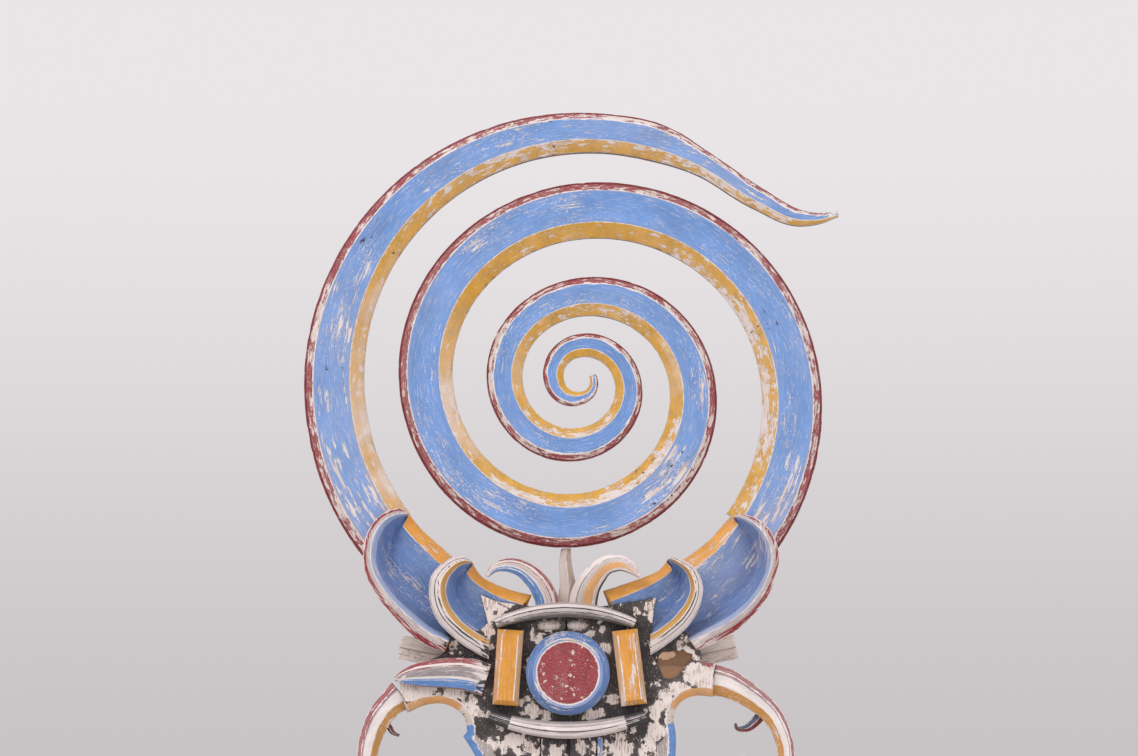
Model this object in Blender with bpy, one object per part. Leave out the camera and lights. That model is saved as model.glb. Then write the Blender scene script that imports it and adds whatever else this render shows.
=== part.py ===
"""Carved and painted wooden roof finial.

A long tapering band winds inward as a spiral. Both of its arms grow out of leaf sheaths that
clasp a small head: a board with a round boss, two upright blocks and two mouldings. A volute
hook curls down from each shoulder of the board, and the board runs down as a post whose foot is
cut off flat where it meets the ridge of the roof.

The front of the finial faces -Y, X is to the right and Z is up. The origin is the middle of the
flat underside of the foot. All named sizes are millimetres.
"""
import math

import bmesh
import bpy
import numpy as np
from mathutils import Vector

MM = 0.001
GAP = 0.3                                # between neighbouring pieces
CLEAR = 90                               # farther forward or back than any piece reaches

SHARP_ANGLE = math.radians(28)           # bends under this are shaded smooth

# Depths, front to back
FACE = -28.0                             # face of the band and the sheath floors' arris
GROUND = -30.0                           # face of the head board
BACK = 30.0                              # flat back of board, arms and scrolls

# The band: centre line and width at every quarter turn, counted inward from the top
CENTRE = (14, 1032)
RING_RADIUS = (482, 459, 436, 431, 385, 315, 271, 244, 208, 158, 129, 108, 93, 70, 39, 25, 31, 36)
RING_WIDTH = (50, 75, 110, 117, 109, 103, 99, 98, 85, 71, 66, 61, 50, 43, 37, 27, 17, 10)
FIRST_TURN = -1                          # quarter turn that the two rows above start at
TAIL = ((486, 1342, 11), (452, 1334, 21), (416, 1335, 31), (344, 1369, 41), (236, 1438, 50))
TAIL_TURN = -0.22                        # where the tail runs into the ring
LEFT_TURN = 1.56                         # where the outer arm ends inside its sheath
RIGHT_TURN = 2.44                        # where the spiral starts inside its sheath
TIP_TURN = 15.35
OUTER_TURN_STEP, INNER_TURN_STEP = 0.085, 0.12
INNER_TURNS_FROM = 8                     # quarter turn from which the spiral takes the longer step

# Section of the band where it is at its widest; every size shrinks with the width
FULL_WIDTH = 110
FULL_DEPTH = 58
BEVEL_DROP = 19                          # how far both bevels fall back at the edges
DISH = 2.5                               # hollow of the face between the bevels
INNER_BEVEL, OUTER_BEVEL = 0.26, 0.16    # share of the width that each bevel takes
INNER_EXTRA, OUTER_EXTRA = 0.12, 0.10    # and how much more as the band gets thin
BACK_INSET = 0.04                        # share of the width by which each side leans in
DEPTH_POWER, DROP_POWER = 0.6, 0.8       # how slowly depth and drop shrink
FACE_LAG = 0.35                          # share of the lost depth that the face gives up

# Leaf sheaths: rim, foot of the hollow, and the inner edge that continues the band
LEFT_BIG = {
    "rim": ((-285, 799), (-300, 808), (-330, 800), (-353, 776), (-365, 742), (-365, 702),
            (-344, 656), (-307, 609), (-255, 564), (-222, 550)),
    "foot": ((-290, 794), (-314, 762), (-321, 705), (-300, 668), (-255, 630), (-203, 596)),
    "edge": ((-283, 796), (-265, 774), (-243, 754), (-211, 726), (-159, 684), (-150, 679)),
}
LEFT_SMALL = {
    "rim": ((-172, 713), (-184, 722), (-203, 722), (-226, 709), (-245, 686), (-249, 658),
            (-240, 618), (-202, 575), (-158, 546), (-120, 530)),
    "foot": ((-174, 709), (-194, 692), (-204, 660), (-190, 630), (-160, 603), (-125, 585)),
    "edge": ((-168, 704), (-156, 689), (-130, 674), (-100, 663), (-67, 655)),
}
RIGHT_BIG = {
    "rim": ((296, 795), (307, 798), (322, 795), (348, 781), (365, 756), (374, 722), (367, 682),
            (351, 646), (326, 614), (257, 567), (228, 554)),
    "foot": ((297, 790), (326, 762), (338, 710), (322, 673), (290, 645), (238, 612), (200, 592)),
    "edge": ((286, 793), (250, 753), (219, 728), (180, 704), (150, 690)),
}
RIGHT_SMALL = {
    "rim": ((176, 718), (188, 721), (201, 716), (224, 702), (238, 669), (232, 632), (211, 597),
            (179, 569), (142, 545), (110, 530)),
    "foot": ((175, 715), (198, 693), (203, 660), (188, 636), (160, 610), (120, 590)),
    "edge": ((172, 711), (160, 699), (134, 687), (88, 671), (61, 662)),
}
EDGE_DROP = 16                           # fall of the inner edge, as the band's bevel
FLOOR_DIP = 9                            # fall of the floor behind its arris
RIM_ROUND = 9                            # fall of the rim outside its crest
LIP_SHARE = 0.46                         # share of the wall's width that the lip may take
BIG_RIM = {"lip": (11, 25), "bevel": 25, "crest": -60, "tip": -40, "low": -46, "hollow": 3, "mouth": 5}
SMALL_RIM = {"lip": (22, 30), "bevel": 24, "crest": -66, "tip": -48, "low": -42, "hollow": -6}

# Head board, clockwise from the tip of its left ear
HEAD_TOP = 634
BOARD_TOP = ((-157, 654), (-128, 642), (-100, 638), (-64, HEAD_TOP), (60, HEAD_TOP), (127, 644), (155, 649))
BOARD_RIGHT = ((148, 605), (146, 575), (180, 571), (203, 592), (216, 580), (234, 553), (236, 534), (256, 533))
HOLLOW_RIGHT = ((256, 474), (228, 476), (207, 470), (192, 456), (186, 437), (189, 412))
POST_RIGHT = ((190, 400), (189, 369), (180, 322), (158, 276), (132, 236), (116, 190), (112, 140))
POST_LEFT = ((-112, 140), (-115, 195), (-126, 255), (-147, 320), (-168, 372), (-188, 404))
HOLLOW_LEFT = ((-181, 411), (-184, 432), (-197, 449), (-222, 461), (-254, 460), (-288, 446))
BOARD_LEFT = ((-303, 505), (-270, 527), (-228, 547), (-213, 562), (-222, 584), (-160, 590), (-144, 604))
FOOT_HALF_WIDTH = 112
EDGE_BEVEL = 16                          # in the hollows under the shoulders and down the post
POST_GROOVES = (-50, -4, 51)             # three grooves down the post
GROOVE_HALF_WIDTH = 3
GROOVE_DEPTH = 5
GROOVE_TOP = 402
GROOVE_FOOT = 60
GROUND_LEFT, GROUND_RIGHT = -142, 144    # bare stretch of the ground between the two small sheaths
GROUND_LOW, GROUND_HIGH = 420, 636
KNOBS = ((-38, 599, 22, 8), (15, 599, 20, 8))   # low lenses under the brow: middle, half width, half height
KNOB_PROUD = 9
SCAR = (188, 526, 37, 24)                # where the lost side leaf was let in
SCAR_DEPTH = 11

# Volute hooks: centre line and width
LEFT_VOLUTE = ((-298, 477, 58), (-316, 462, 49), (-338, 435, 45), (-351, 405, 42), (-358, 372, 39),
               (-355, 335, 36), (-338, 302, 32), (-308, 285, 28), (-279, 293, 25), (-264, 318, 21),
               (-273, 342, 17), (-294, 346, 13))
RIGHT_VOLUTE = ((256.3, 503.5, 59), (281, 498, 54), (308, 484, 48), (335, 466, 42), (359, 444, 38),
                (375, 417, 34), (384, 388, 32), (385, 355, 31), (373, 317, 29), (346, 292, 27),
                (313, 291, 25), (288, 314, 23), (288, 343, 21), (307, 361, 18), (327, 352, 14),
                (332, 335, 10))
LEFT_BARB = ((-338, 432, 16), (-322, 421, 12), (-314, 410, 9), (-303, 405, 6))
RIGHT_BARB = ((345, 444, 20), (331, 428, 18), (314, 417, 14), (299, 419, 8), (297, 427, 5))
VOLUTE_BEVEL = 0.30                      # share of the width that the inner bevel takes
BARB_RIDGE, BARB_FRONT, BARB_BACK = -6, 4, 20

# Curls over the head: centre line, width and how far forward they lean
LEFT_CURL = ((-37, 622, 44, -28), (-40, 646, 44, -29), (-50, 668, 42, -37), (-66, 687, 37, -44),
             (-88, 702, 31, -51), (-112, 706, 25, -56), (-133, 700, 17, -58), (-146, 686, 8, -58))
RIGHT_CURL = ((25, 622, 52, -28), (26, 646, 52, -29), (34, 670, 48, -37), (46, 688, 43, -44),
              (66, 706, 36, -51), (90, 710, 31, -56), (112, 700, 22, -58), (127, 685, 9, -58))
CURL_DEPTH = 24
LEAF_PROFILE = ((-1, 0.45), (-0.62, 0.08), (-0.1, 0), (0.45, 0.1), (1, 0.5), (0.8, 1), (-0.8, 1))

SIDE_LEAF = ((-146, 503, 60, -57), (-176, 512, 60, -60), (-208, 515, 57, -62), (-240, 514, 51, -62),
             (-268, 512, 43, -60), (-292, 508, 27, -56), (-309, 504, 8, -52))
SIDE_LEAF_DEPTH = 26

STRUT_FOOT = (-5, 37)                    # middle and width at the head
STRUT_TOP = (-5, 19)                     # middle and width under the spiral
STRUT_DEPTH = 24
STRUT_RIDGE = 7                          # how far its middle ridge stands proud
STRUT_BACKS = (24, 20)                   # Y of its back at the head and at the top

BOSS_CENTRE = (-2, 515)
BOSS_PROFILE = ((0, -68), (55, -68), (57, -70), (61, -70), (74, -55), (74, GROUND - GAP), (0, GROUND - GAP))
BLOCK_SIZE = (47, 30, 134)
BLOCKS = {"block_left": (-108, 525, 4), "block_right": (107, 525, -7)}
BLOCK_BEVEL = 9

BROW = {"ends": ((-130, 602), (117, 602)), "rise": 25, "height": 27}
CHIN = {"ends": ((-141, 440), (136, 441)), "rise": -26, "height": 31}
MOULDING_PROUD = 45
MOULDING_PROFILE = ((-1, 0), (-1, 0.55), (-0.72, 0.9), (-0.12, 1), (0, 0.9), (0.12, 1), (0.72, 0.86),
                    (1, 0.5), (1, 0))
MOULDING_TAPER = 0.32                    # how much thinner its ends are
ARC_POINTS = 17

BATTEN_ENDS = ((-304, 561), (300, 567))
BATTEN_RISE = -34
BATTEN_SECTION = (44, 20)
BATTEN_STEP = 4

PAINT = {
    "outer_arm": ((0.19, 0.32, 0.62), 0.75),
    "spiral_arm": ((0.19, 0.32, 0.62), 0.75),
    "head_board": ((0.07, 0.07, 0.075), 0.85),
    "scroll_left": ((0.75, 0.66, 0.60), 0.8),
    "scroll_right": ((0.75, 0.66, 0.60), 0.8),
    "side_leaf_left": ((0.42, 0.38, 0.40), 0.8),
    "top_curl_left": ((0.62, 0.50, 0.47), 0.8),
    "top_curl_right": ((0.55, 0.50, 0.48), 0.8),
    "strut": ((0.55, 0.46, 0.38), 0.85),
    "boss_disc": ((0.33, 0.06, 0.07), 0.7),
    "block_left": ((0.72, 0.35, 0.08), 0.7),
    "block_right": ((0.72, 0.35, 0.08), 0.7),
    "brow_moulding": ((0.50, 0.47, 0.45), 0.8),
    "chin_moulding": ((0.50, 0.47, 0.45), 0.8),
    "back_batten": ((0.40, 0.34, 0.28), 0.9),
}


# ---------------------------------------------------------------- scene and materials

def clear_scene():
    for old in list(bpy.data.objects):
        bpy.data.objects.remove(old, do_unlink=True)


def collection(name):
    group = bpy.data.collections.new(name)
    bpy.context.scene.collection.children.link(group)
    return group


def paint(name):
    colour, roughness = PAINT[name]
    material = bpy.data.materials.new(name + "_paint")
    material.use_nodes = True
    shader = material.node_tree.nodes["Principled BSDF"]
    shader.inputs["Base Color"].default_value = (*colour, 1)
    shader.inputs["Roughness"].default_value = roughness
    shader.inputs["Metallic"].default_value = 0
    return material


def part(name, mesh):
    """Link a finished mesh as the sub-part `name`."""
    mesh.name = name
    mesh.materials.clear()
    mesh.materials.append(paint(name))
    shade(mesh)
    finished = bpy.data.objects.new(name, mesh)
    PARTS.objects.link(finished)
    return finished


def shade(mesh):
    """Smooth shading, with the carved edges kept crisp."""
    mesh.shade_smooth()
    mesh.set_sharp_from_angle(angle=SHARP_ANGLE)


def cutter(name, mesh):
    """Link a mesh that only cuts or joins, so that it isn't a piece of the finial."""
    tool = bpy.data.objects.new(name, mesh)
    tool.hide_render = True
    tool.display_type = 'WIRE'
    CUTTERS.objects.link(tool)
    return tool


def combine(target, tool, operation):
    """Boolean of two objects, applied to the target."""
    modifier = target.modifiers.new(operation.lower(), 'BOOLEAN')
    modifier.operation = operation
    modifier.solver = 'EXACT'
    modifier.object = tool
    graph = bpy.context.evaluated_depsgraph_get()
    graph.update()
    result = bpy.data.meshes.new_from_object(target.evaluated_get(graph))
    target.modifiers.clear()
    target.data = result
    shade(result)


# ---------------------------------------------------------------- curves and lofts

def smooth_curve(knots, count):
    """`count` points evenly spaced along a smooth curve through the knots, whatever their columns."""
    knots = np.asarray(knots, float)
    steps = np.linalg.norm(np.diff(knots[:, :2], axis=0), axis=1)
    along = np.concatenate(([0], np.cumsum(steps)))
    slope = np.gradient(knots, along, axis=0)
    fine = np.linspace(0, along[-1], 24 * len(knots))
    i = np.clip(np.searchsorted(along, fine, side='right') - 1, 0, len(steps) - 1)
    span = steps[i][:, None]
    f = ((fine - along[i]) / steps[i])[:, None]
    curve = ((2 * f ** 3 - 3 * f ** 2 + 1) * knots[i] + (f ** 3 - 2 * f ** 2 + f) * span * slope[i]
             + (3 * f ** 2 - 2 * f ** 3) * knots[i + 1] + (f ** 3 - f ** 2) * span * slope[i + 1])
    walked = np.linalg.norm(np.diff(curve[:, :2], axis=0), axis=1)
    length = np.concatenate(([0], np.cumsum(walked)))
    even = np.linspace(0, length[-1], count)
    return np.column_stack([np.interp(even, length, column) for column in curve.T])


def quarter_turn(row, turn):
    """Cubic interpolation in a row that has one value for every quarter turn."""
    i = math.floor(turn - FIRST_TURN)
    f = turn - FIRST_TURN - i
    a, b, c, d = (row[min(max(i + k, 0), len(row) - 1)] for k in (-1, 0, 1, 2))
    return 0.5 * (2 * b + (c - a) * f + (2 * a - 5 * b + 4 * c - d) * f ** 2
                  + (3 * b - a - 3 * c + d) * f ** 3)


def ring_point(turn):
    """Centre line of the band and its width, `turn` quarter turns inward from the top."""
    angle = math.radians(90 + 90 * turn)
    radius = quarter_turn(RING_RADIUS, turn)
    return (CENTRE[0] + radius * math.cos(angle), CENTRE[1] + radius * math.sin(angle),
            quarter_turn(RING_WIDTH, turn))


def normals_across(line):
    """Unit vectors square to a plane line, to the left of its direction."""
    tangent = np.gradient(line[:, :2], axis=0)
    tangent /= np.linalg.norm(tangent, axis=1)[:, None]
    return np.column_stack([-tangent[:, 1], tangent[:, 0]])


def loft(rings):
    """Closed mesh through rings of equally many points (x, y, z in mm), with flat ends."""
    mesh = bmesh.new()
    loops = [[mesh.verts.new(Vector(point) * MM) for point in ring] for ring in rings]
    for near, far in zip(loops, loops[1:]):
        for k in range(len(near)):
            mesh.faces.new((near[k - 1], near[k], far[k], far[k - 1]))
    mesh.faces.new(loops[0])
    mesh.faces.new(reversed(loops[-1]))
    bmesh.ops.recalc_face_normals(mesh, faces=mesh.faces)
    result = bpy.data.meshes.new("loft")
    mesh.to_mesh(result)
    mesh.free()
    return result


def band(line, inner_share, outer_share, inner_side):
    """Carved band: flat dished face between two bevels, flat back.

    line has columns x, z, width; inner_side is +1 where the inner edge is left of the line.
    """
    rings = []
    for (x, z, width), across in zip(line, normals_across(line) * inner_side):
        size = width / FULL_WIDTH
        thinness = 1 - min(size, 1)
        depth = FULL_DEPTH * size ** DEPTH_POWER
        face = FACE + FACE_LAG * (FULL_DEPTH - depth)
        drop = BEVEL_DROP * size ** DROP_POWER
        half = width / 2
        back_half = half - BACK_INSET * width
        inner = inner_share + INNER_EXTRA * thinness
        outer = outer_share + OUTER_EXTRA * thinness
        section = ((back_half, face + depth), (half, face + drop), (half - inner * width, face),
                   (0, face + DISH * size), (outer * width - half, face), (-half, face + drop),
                   (-back_half, face + depth))
        rings.append([(x + a * across[0], y, z + a * across[1]) for a, y in section])
    return loft(rings)


def prism(outline, front, back):
    """Flat outline in X and Z, extruded from front to back."""
    curve = bpy.data.curves.new("outline", 'CURVE')
    curve.dimensions = '2D'
    curve.fill_mode = 'BOTH'
    curve.extrude = (back - front) / 2 * MM
    spline = curve.splines.new('POLY')
    spline.points.add(len(outline) - 1)
    for point, (x, z) in zip(spline.points, outline):
        point.co = (x * MM, z * MM, 0, 1)
    spline.use_cyclic_u = True
    drawn = bpy.data.objects.new("outline", curve)
    drawn.rotation_euler.x = math.pi / 2
    drawn.location.y = (front + back) / 2 * MM
    return mesh_of(drawn)


def mesh_of(drawn):
    """World-space mesh of a curve object, with its caps welded; the curve is removed."""
    bpy.context.scene.collection.objects.link(drawn)
    graph = bpy.context.evaluated_depsgraph_get()
    graph.update()
    mesh = bpy.data.meshes.new_from_object(drawn.evaluated_get(graph))
    mesh.transform(drawn.matrix_world)
    bpy.data.objects.remove(drawn, do_unlink=True)
    welded = bmesh.new()
    welded.from_mesh(mesh)
    bmesh.ops.remove_doubles(welded, verts=welded.verts, dist=0.00001)
    bmesh.ops.recalc_face_normals(welded, faces=welded.faces)
    welded.to_mesh(mesh)
    welded.free()
    return mesh


def grown(outline, distance):
    """Outline pushed outward; its points run clockwise seen from the front."""
    points = np.asarray(outline, float)
    before = points - np.roll(points, 1, axis=0)
    after = np.roll(points, -1, axis=0) - points
    before /= np.linalg.norm(before, axis=1)[:, None]
    after /= np.linalg.norm(after, axis=1)[:, None]
    out_before = np.column_stack([-before[:, 1], before[:, 0]])
    out_after = np.column_stack([-after[:, 1], after[:, 0]])
    middle = out_before + out_after
    return points + distance * 2 * middle / np.sum(middle ** 2, axis=1)[:, None]


# ---------------------------------------------------------------- the arms

def sheath(lines, rim, count):
    """Leaf sheath: a hollow with a raised rim outside and the band's bevelled edge inside."""
    outer = smooth_curve(lines["rim"], count)
    foot = smooth_curve(lines["foot"], count)
    edge = smooth_curve(lines["edge"], count)
    rings = []
    for k, (r, f, e) in enumerate(zip(outer, foot, edge)):
        s = k / (count - 1)
        grow = min(1, s / 0.3)
        fade = max(0, (s - 0.62) / 0.38) ** 2
        crest_y = rim["tip"] + (rim["crest"] - rim["tip"]) * grow + (rim["low"] - rim["crest"]) * fade
        hollow_y = rim["tip"] + 14 + (rim["hollow"] - rim["tip"] - 14) * min(1, s / 0.2)
        inward = f - r
        reach = np.linalg.norm(inward)
        lip = min(rim["lip"][0] * (1 - s) + rim["lip"][1] * s, LIP_SHARE * reach) / reach
        outward = f - e
        span = np.linalg.norm(outward)
        bevel = min(rim["bevel"], 0.45 * span) / span
        crest = r + inward * lip
        arris = e + outward * bevel
        section = ((e, BACK), (e, FACE + EDGE_DROP), (arris, FACE),
                   (arris + 0.45 * (f - arris), FACE + FLOOR_DIP),
                   (f, hollow_y), (f + 0.45 * (crest - f), hollow_y * 0.62 + crest_y * 0.38),
                   (crest + 0.12 * (f - crest), crest_y + 3), (crest, crest_y), (r, crest_y + RIM_ROUND),
                   (r + 0.25 * (crest - r), BACK))
        rings.append([(point[0], y, point[1]) for point, y in section])
    return loft(rings)


def arm(name, line, sheaths, trim):
    """One arm: its band cut off under the rim of the big sheath, joined to both sheaths."""
    body = part(name, band(line, INNER_BEVEL, OUTER_BEVEL, 1))
    mouth = cutter(name + "_mouth", prism(trim, -CLEAR, CLEAR))
    combine(body, mouth, 'DIFFERENCE')
    for label, lines, rim, count in sheaths:
        combine(body, cutter(name + label, sheath(lines, rim, count)), 'UNION')
    combine(body, board_tool(name), 'DIFFERENCE')
    corners = ((GROUND_LEFT, GROUND_LOW), (GROUND_LEFT, GROUND_HIGH),
               (GROUND_RIGHT, GROUND_HIGH), (GROUND_RIGHT, GROUND_LOW))
    combine(body, cutter(name + "_ground", prism(corners, -CLEAR, GROUND)), 'DIFFERENCE')


def rim_trim(lines, beyond):
    """Outline that removes the band inside a sheath: the rim's first half, moved inward, and beyond."""
    rim = smooth_curve(lines["rim"], 25)[:13]
    foot = smooth_curve(lines["foot"], 25)[:13]
    toward = foot - rim
    toward /= np.linalg.norm(toward, axis=1)[:, None]
    return [tuple(point) for point in rim + toward * BIG_RIM["mouth"]] + list(beyond)


def make_arms():
    ring = [ring_point(turn) for turn in np.linspace(TAIL_TURN, LEFT_TURN, 12)]
    outer_line = smooth_curve(list(TAIL) + ring, 54)
    arm("outer_arm", outer_line,
        (("_big", LEFT_BIG, BIG_RIM, 26), ("_small", LEFT_SMALL, SMALL_RIM, 22)),
        rim_trim(LEFT_BIG, ((-240, 640), (-180, 770), (-275, 815))))

    turns = [RIGHT_TURN]
    while turns[-1] < TIP_TURN:
        turns.append(turns[-1] + (OUTER_TURN_STEP if turns[-1] < INNER_TURNS_FROM else INNER_TURN_STEP))
    turns[-1] = TIP_TURN
    inner_line = np.array([ring_point(turn) for turn in turns])
    arm("spiral_arm", inner_line,
        (("_big", RIGHT_BIG, BIG_RIM, 26), ("_small", RIGHT_SMALL, SMALL_RIM, 22)),
        rim_trim(RIGHT_BIG, ((250, 620), (200, 740), (268, 790))))


# ---------------------------------------------------------------- the head and its hooks

def board_outline():
    """Outline of the head board: a small head with ears, two shoulders and a post."""
    foot = ((FOOT_HALF_WIDTH, 0), (-FOOT_HALF_WIDTH, 0))
    right = np.vstack((smooth_curve(HOLLOW_RIGHT, 8), smooth_curve(POST_RIGHT, 7)))
    left = np.vstack((smooth_curve(POST_LEFT, 7), smooth_curve(HOLLOW_LEFT, 8)))
    return np.vstack((BOARD_TOP, BOARD_RIGHT, right, foot, left, BOARD_LEFT))


def on_bevelled_edge(point):
    """Whether a point of the front face's outline lies in a hollow under a shoulder or on the post."""
    low = POST_RIGHT[-1][1] - 0.1
    high = HOLLOW_RIGHT[1][1] + 0.1
    return point.y < 0 and low < point.z / MM < high


def make_head():
    """Head board: knobs on its face, a scar on its shoulder and grooves down its post."""
    board = bmesh.new()
    board.from_mesh(prism(board_outline(), GROUND, BACK))
    bmesh.ops.dissolve_limit(board, angle_limit=0.0001, verts=board.verts, edges=board.edges)
    worked_edges = [edge for edge in board.edges
                    if edge.calc_face_angle() > 1 and all(on_bevelled_edge(vert.co) for vert in edge.verts)]
    bmesh.ops.bevel(board, geom=worked_edges, offset=EDGE_BEVEL * MM, segments=1, affect='EDGES')
    mesh = bpy.data.meshes.new("head_board")
    board.to_mesh(mesh)
    board.free()
    head = part("head_board", mesh)
    for x, z, half_width, half_height in KNOBS:
        knob = ellipsoid((x, GROUND, z), (half_width, KNOB_PROUD, half_height))
        combine(head, cutter("knob", knob), 'UNION')
    x, z, half_width, half_height = SCAR
    scar = ellipsoid((x, GROUND, z), (half_width, SCAR_DEPTH, half_height))
    combine(head, cutter("scar", scar), 'DIFFERENCE')
    for x in POST_GROOVES:
        left, right = x - GROOVE_HALF_WIDTH, x + GROOVE_HALF_WIDTH
        outline = ((left, GROOVE_FOOT), (left, GROOVE_TOP), (right, GROOVE_TOP), (right, GROOVE_FOOT))
        groove = prism(outline, GROUND - GROOVE_DEPTH, GROUND + GROOVE_DEPTH)
        combine(head, cutter("groove", groove), 'DIFFERENCE')


def ellipsoid(middle, radii):
    ball = bmesh.new()
    bmesh.ops.create_uvsphere(ball, u_segments=14, v_segments=6, radius=1)
    bmesh.ops.scale(ball, verts=ball.verts, vec=Vector(radii) * MM)
    bmesh.ops.translate(ball, verts=ball.verts, vec=Vector(middle) * MM)
    mesh = bpy.data.meshes.new("ellipsoid")
    ball.to_mesh(mesh)
    ball.free()
    return mesh


def make_scroll(name, volute, barb, side, count):
    """Volute hook with the small barb that springs from behind its band."""
    line = smooth_curve(volute, count)
    scroll = part(name, band(line, VOLUTE_BEVEL, OUTER_BEVEL, side))
    combine(scroll, board_tool(name), 'DIFFERENCE')
    hook = smooth_curve(barb, 7)
    rings = []
    for (x, z, width), across in zip(hook, normals_across(hook)):
        section = ((-width / 2, BARB_FRONT), (0, BARB_RIDGE), (width / 2, BARB_FRONT),
                   (width / 2, BARB_BACK), (-width / 2, BARB_BACK))
        rings.append([(x + a * across[0], y, z + a * across[1]) for a, y in section])
    combine(scroll, cutter(name + "_barb", loft(rings)), 'UNION')


def leaf(name, line, depth, count):
    """Free leaf: a ridge between a wide bevel above and one below, thinning to its tip."""
    rings = []
    path = smooth_curve(line, count)
    for (x, z, width, front), across in zip(path, normals_across(path)):
        half = width / 2
        thick = depth * (width / line[0][2]) ** 0.5
        rings.append([(x + a * half * across[0], front + d * thick, z + a * half * across[1])
                      for a, d in LEAF_PROFILE])
    return part(name, loft(rings))


def board_tool(name):
    """The board's outline with the gap round it, to fit a neighbour to its edge."""
    return cutter(name + "_board", prism(grown(board_outline(), GAP), GROUND - GAP, CLEAR))


def make_leaves():
    for name, line in (("top_curl_left", LEFT_CURL), ("top_curl_right", RIGHT_CURL)):
        curl = leaf(name, line, CURL_DEPTH, 14)
        combine(curl, board_tool(name), 'DIFFERENCE')
    leaf("side_leaf_left", SIDE_LEAF, SIDE_LEAF_DEPTH, 12)


def make_strut():
    """Tapered prop with a ridge down its front, from the head to the lowest turn of the spiral."""
    lowest = ring_point(6)
    top = lowest[1] - lowest[2] / 2 - 1
    rings = []
    for (middle, width), z, back in zip((STRUT_FOOT, STRUT_TOP), (HEAD_TOP + GAP, top), STRUT_BACKS):
        half = width / 2
        front = back - STRUT_DEPTH
        side = front + STRUT_RIDGE
        rings.append([(middle - half, back, z), (middle - half, side, z), (middle, front, z),
                      (middle + half, side, z), (middle + half, back, z)])
    part("strut", loft(rings))


# ---------------------------------------------------------------- applied pieces

def make_boss():
    """Round boss: a turned profile about the Y axis."""
    profile = bmesh.new()
    corners = [profile.verts.new((radius * MM, y * MM, 0)) for radius, y in BOSS_PROFILE]
    for near, far in zip(corners, corners[1:]):
        profile.edges.new((near, far))
    bmesh.ops.spin(profile, geom=profile.verts[:] + profile.edges[:], cent=(0, 0, 0), axis=(0, 1, 0),
                   angle=math.tau, steps=40, use_merge=True)
    bmesh.ops.remove_doubles(profile, verts=profile.verts, dist=0.00001)
    bmesh.ops.recalc_face_normals(profile, faces=profile.faces)
    mesh = bpy.data.meshes.new("boss")
    profile.to_mesh(mesh)
    profile.free()
    boss = part("boss_disc", mesh)
    boss.location = (BOSS_CENTRE[0] * MM, 0, BOSS_CENTRE[1] * MM)


def make_blocks():
    """Upright blocks with wide bevels along their front edges."""
    width, proud, height = BLOCK_SIZE
    for name, (x, z, tilt) in BLOCKS.items():
        box = bmesh.new()
        bmesh.ops.create_cube(box, size=1)
        bmesh.ops.scale(box, verts=box.verts, vec=Vector(BLOCK_SIZE) * MM)
        front = [edge for edge in box.edges if all(vert.co.y < 0 for vert in edge.verts)]
        bmesh.ops.bevel(box, geom=front, offset=BLOCK_BEVEL * MM, segments=1, affect='EDGES')
        mesh = bpy.data.meshes.new(name)
        box.to_mesh(mesh)
        box.free()
        block = part(name, mesh)
        block.location = (x * MM, (GROUND - GAP - proud / 2) * MM, z * MM)
        block.rotation_euler.y = math.radians(tilt)


def arc_through(ends, rise):
    """Points on the circular arc between two ends with the given rise in its middle."""
    (x0, z0), (x1, z1) = ends
    chord = math.hypot(x1 - x0, z1 - z0)
    radius = (chord ** 2 / 4 + rise ** 2) / (2 * rise)
    half = math.asin(chord / 2 / radius)
    middle = ((x0 + x1) / 2, (z0 + z1) / 2 + rise - radius)
    return [(middle[0] + radius * math.sin(a), middle[1] + radius * math.cos(a))
            for a in np.linspace(-half, half, ARC_POINTS)]


def bow(name, arc, section, sizes, front):
    """Bar of one section bent along an arc; `sizes` scales it at each point."""
    shape = bpy.data.curves.new(name + "_section", 'CURVE')
    shape.dimensions = '2D'
    outline = shape.splines.new('POLY')
    outline.points.add(len(section) - 1)
    for point, (across, depth) in zip(outline.points, section):
        point.co = (across * MM, depth * MM, 0, 1)
    outline.use_cyclic_u = True
    shape_object = bpy.data.objects.new(name + "_section", shape)
    shape_object.hide_render = True
    CUTTERS.objects.link(shape_object)
    path = bpy.data.curves.new(name, 'CURVE')
    path.dimensions = '2D'
    path.bevel_mode = 'OBJECT'
    path.bevel_object = shape_object
    path.use_fill_caps = True
    spline = path.splines.new('POLY')
    spline.points.add(len(arc) - 1)
    for point, (x, z), size in zip(spline.points, arc, sizes):
        point.co = (x * MM, z * MM, 0, 1)
        point.radius = size
    drawn = bpy.data.objects.new(name, path)
    drawn.rotation_euler.x = math.pi / 2
    drawn.location.y = front * MM
    return part(name, mesh_of(drawn))


def make_mouldings():
    """Brow and chin: half-round bars with a groove, flat against the board."""
    for name, moulding in (("brow_moulding", BROW), ("chin_moulding", CHIN)):
        half = moulding["height"] / 2
        arc = arc_through(moulding["ends"], moulding["rise"])
        sizes = 1 - MOULDING_TAPER * np.linspace(-1, 1, ARC_POINTS) ** 2
        section = [(a * half, d * MOULDING_PROUD) for a, d in MOULDING_PROFILE]
        bow(name, arc, section, sizes, GROUND - GAP)


def make_batten():
    """Bare batten bowed across the back, with a step cut along it."""
    width, depth = BATTEN_SECTION
    half = width / 2
    section = ((-half, 0), (-half, -depth), (half, -depth), (half, -BATTEN_STEP),
               (0.1 * half, -BATTEN_STEP), (0.05 * half, 0))
    arc = arc_through(BATTEN_ENDS, BATTEN_RISE)
    bow("back_batten", arc, section, [1] * ARC_POINTS, BACK + GAP)


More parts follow.
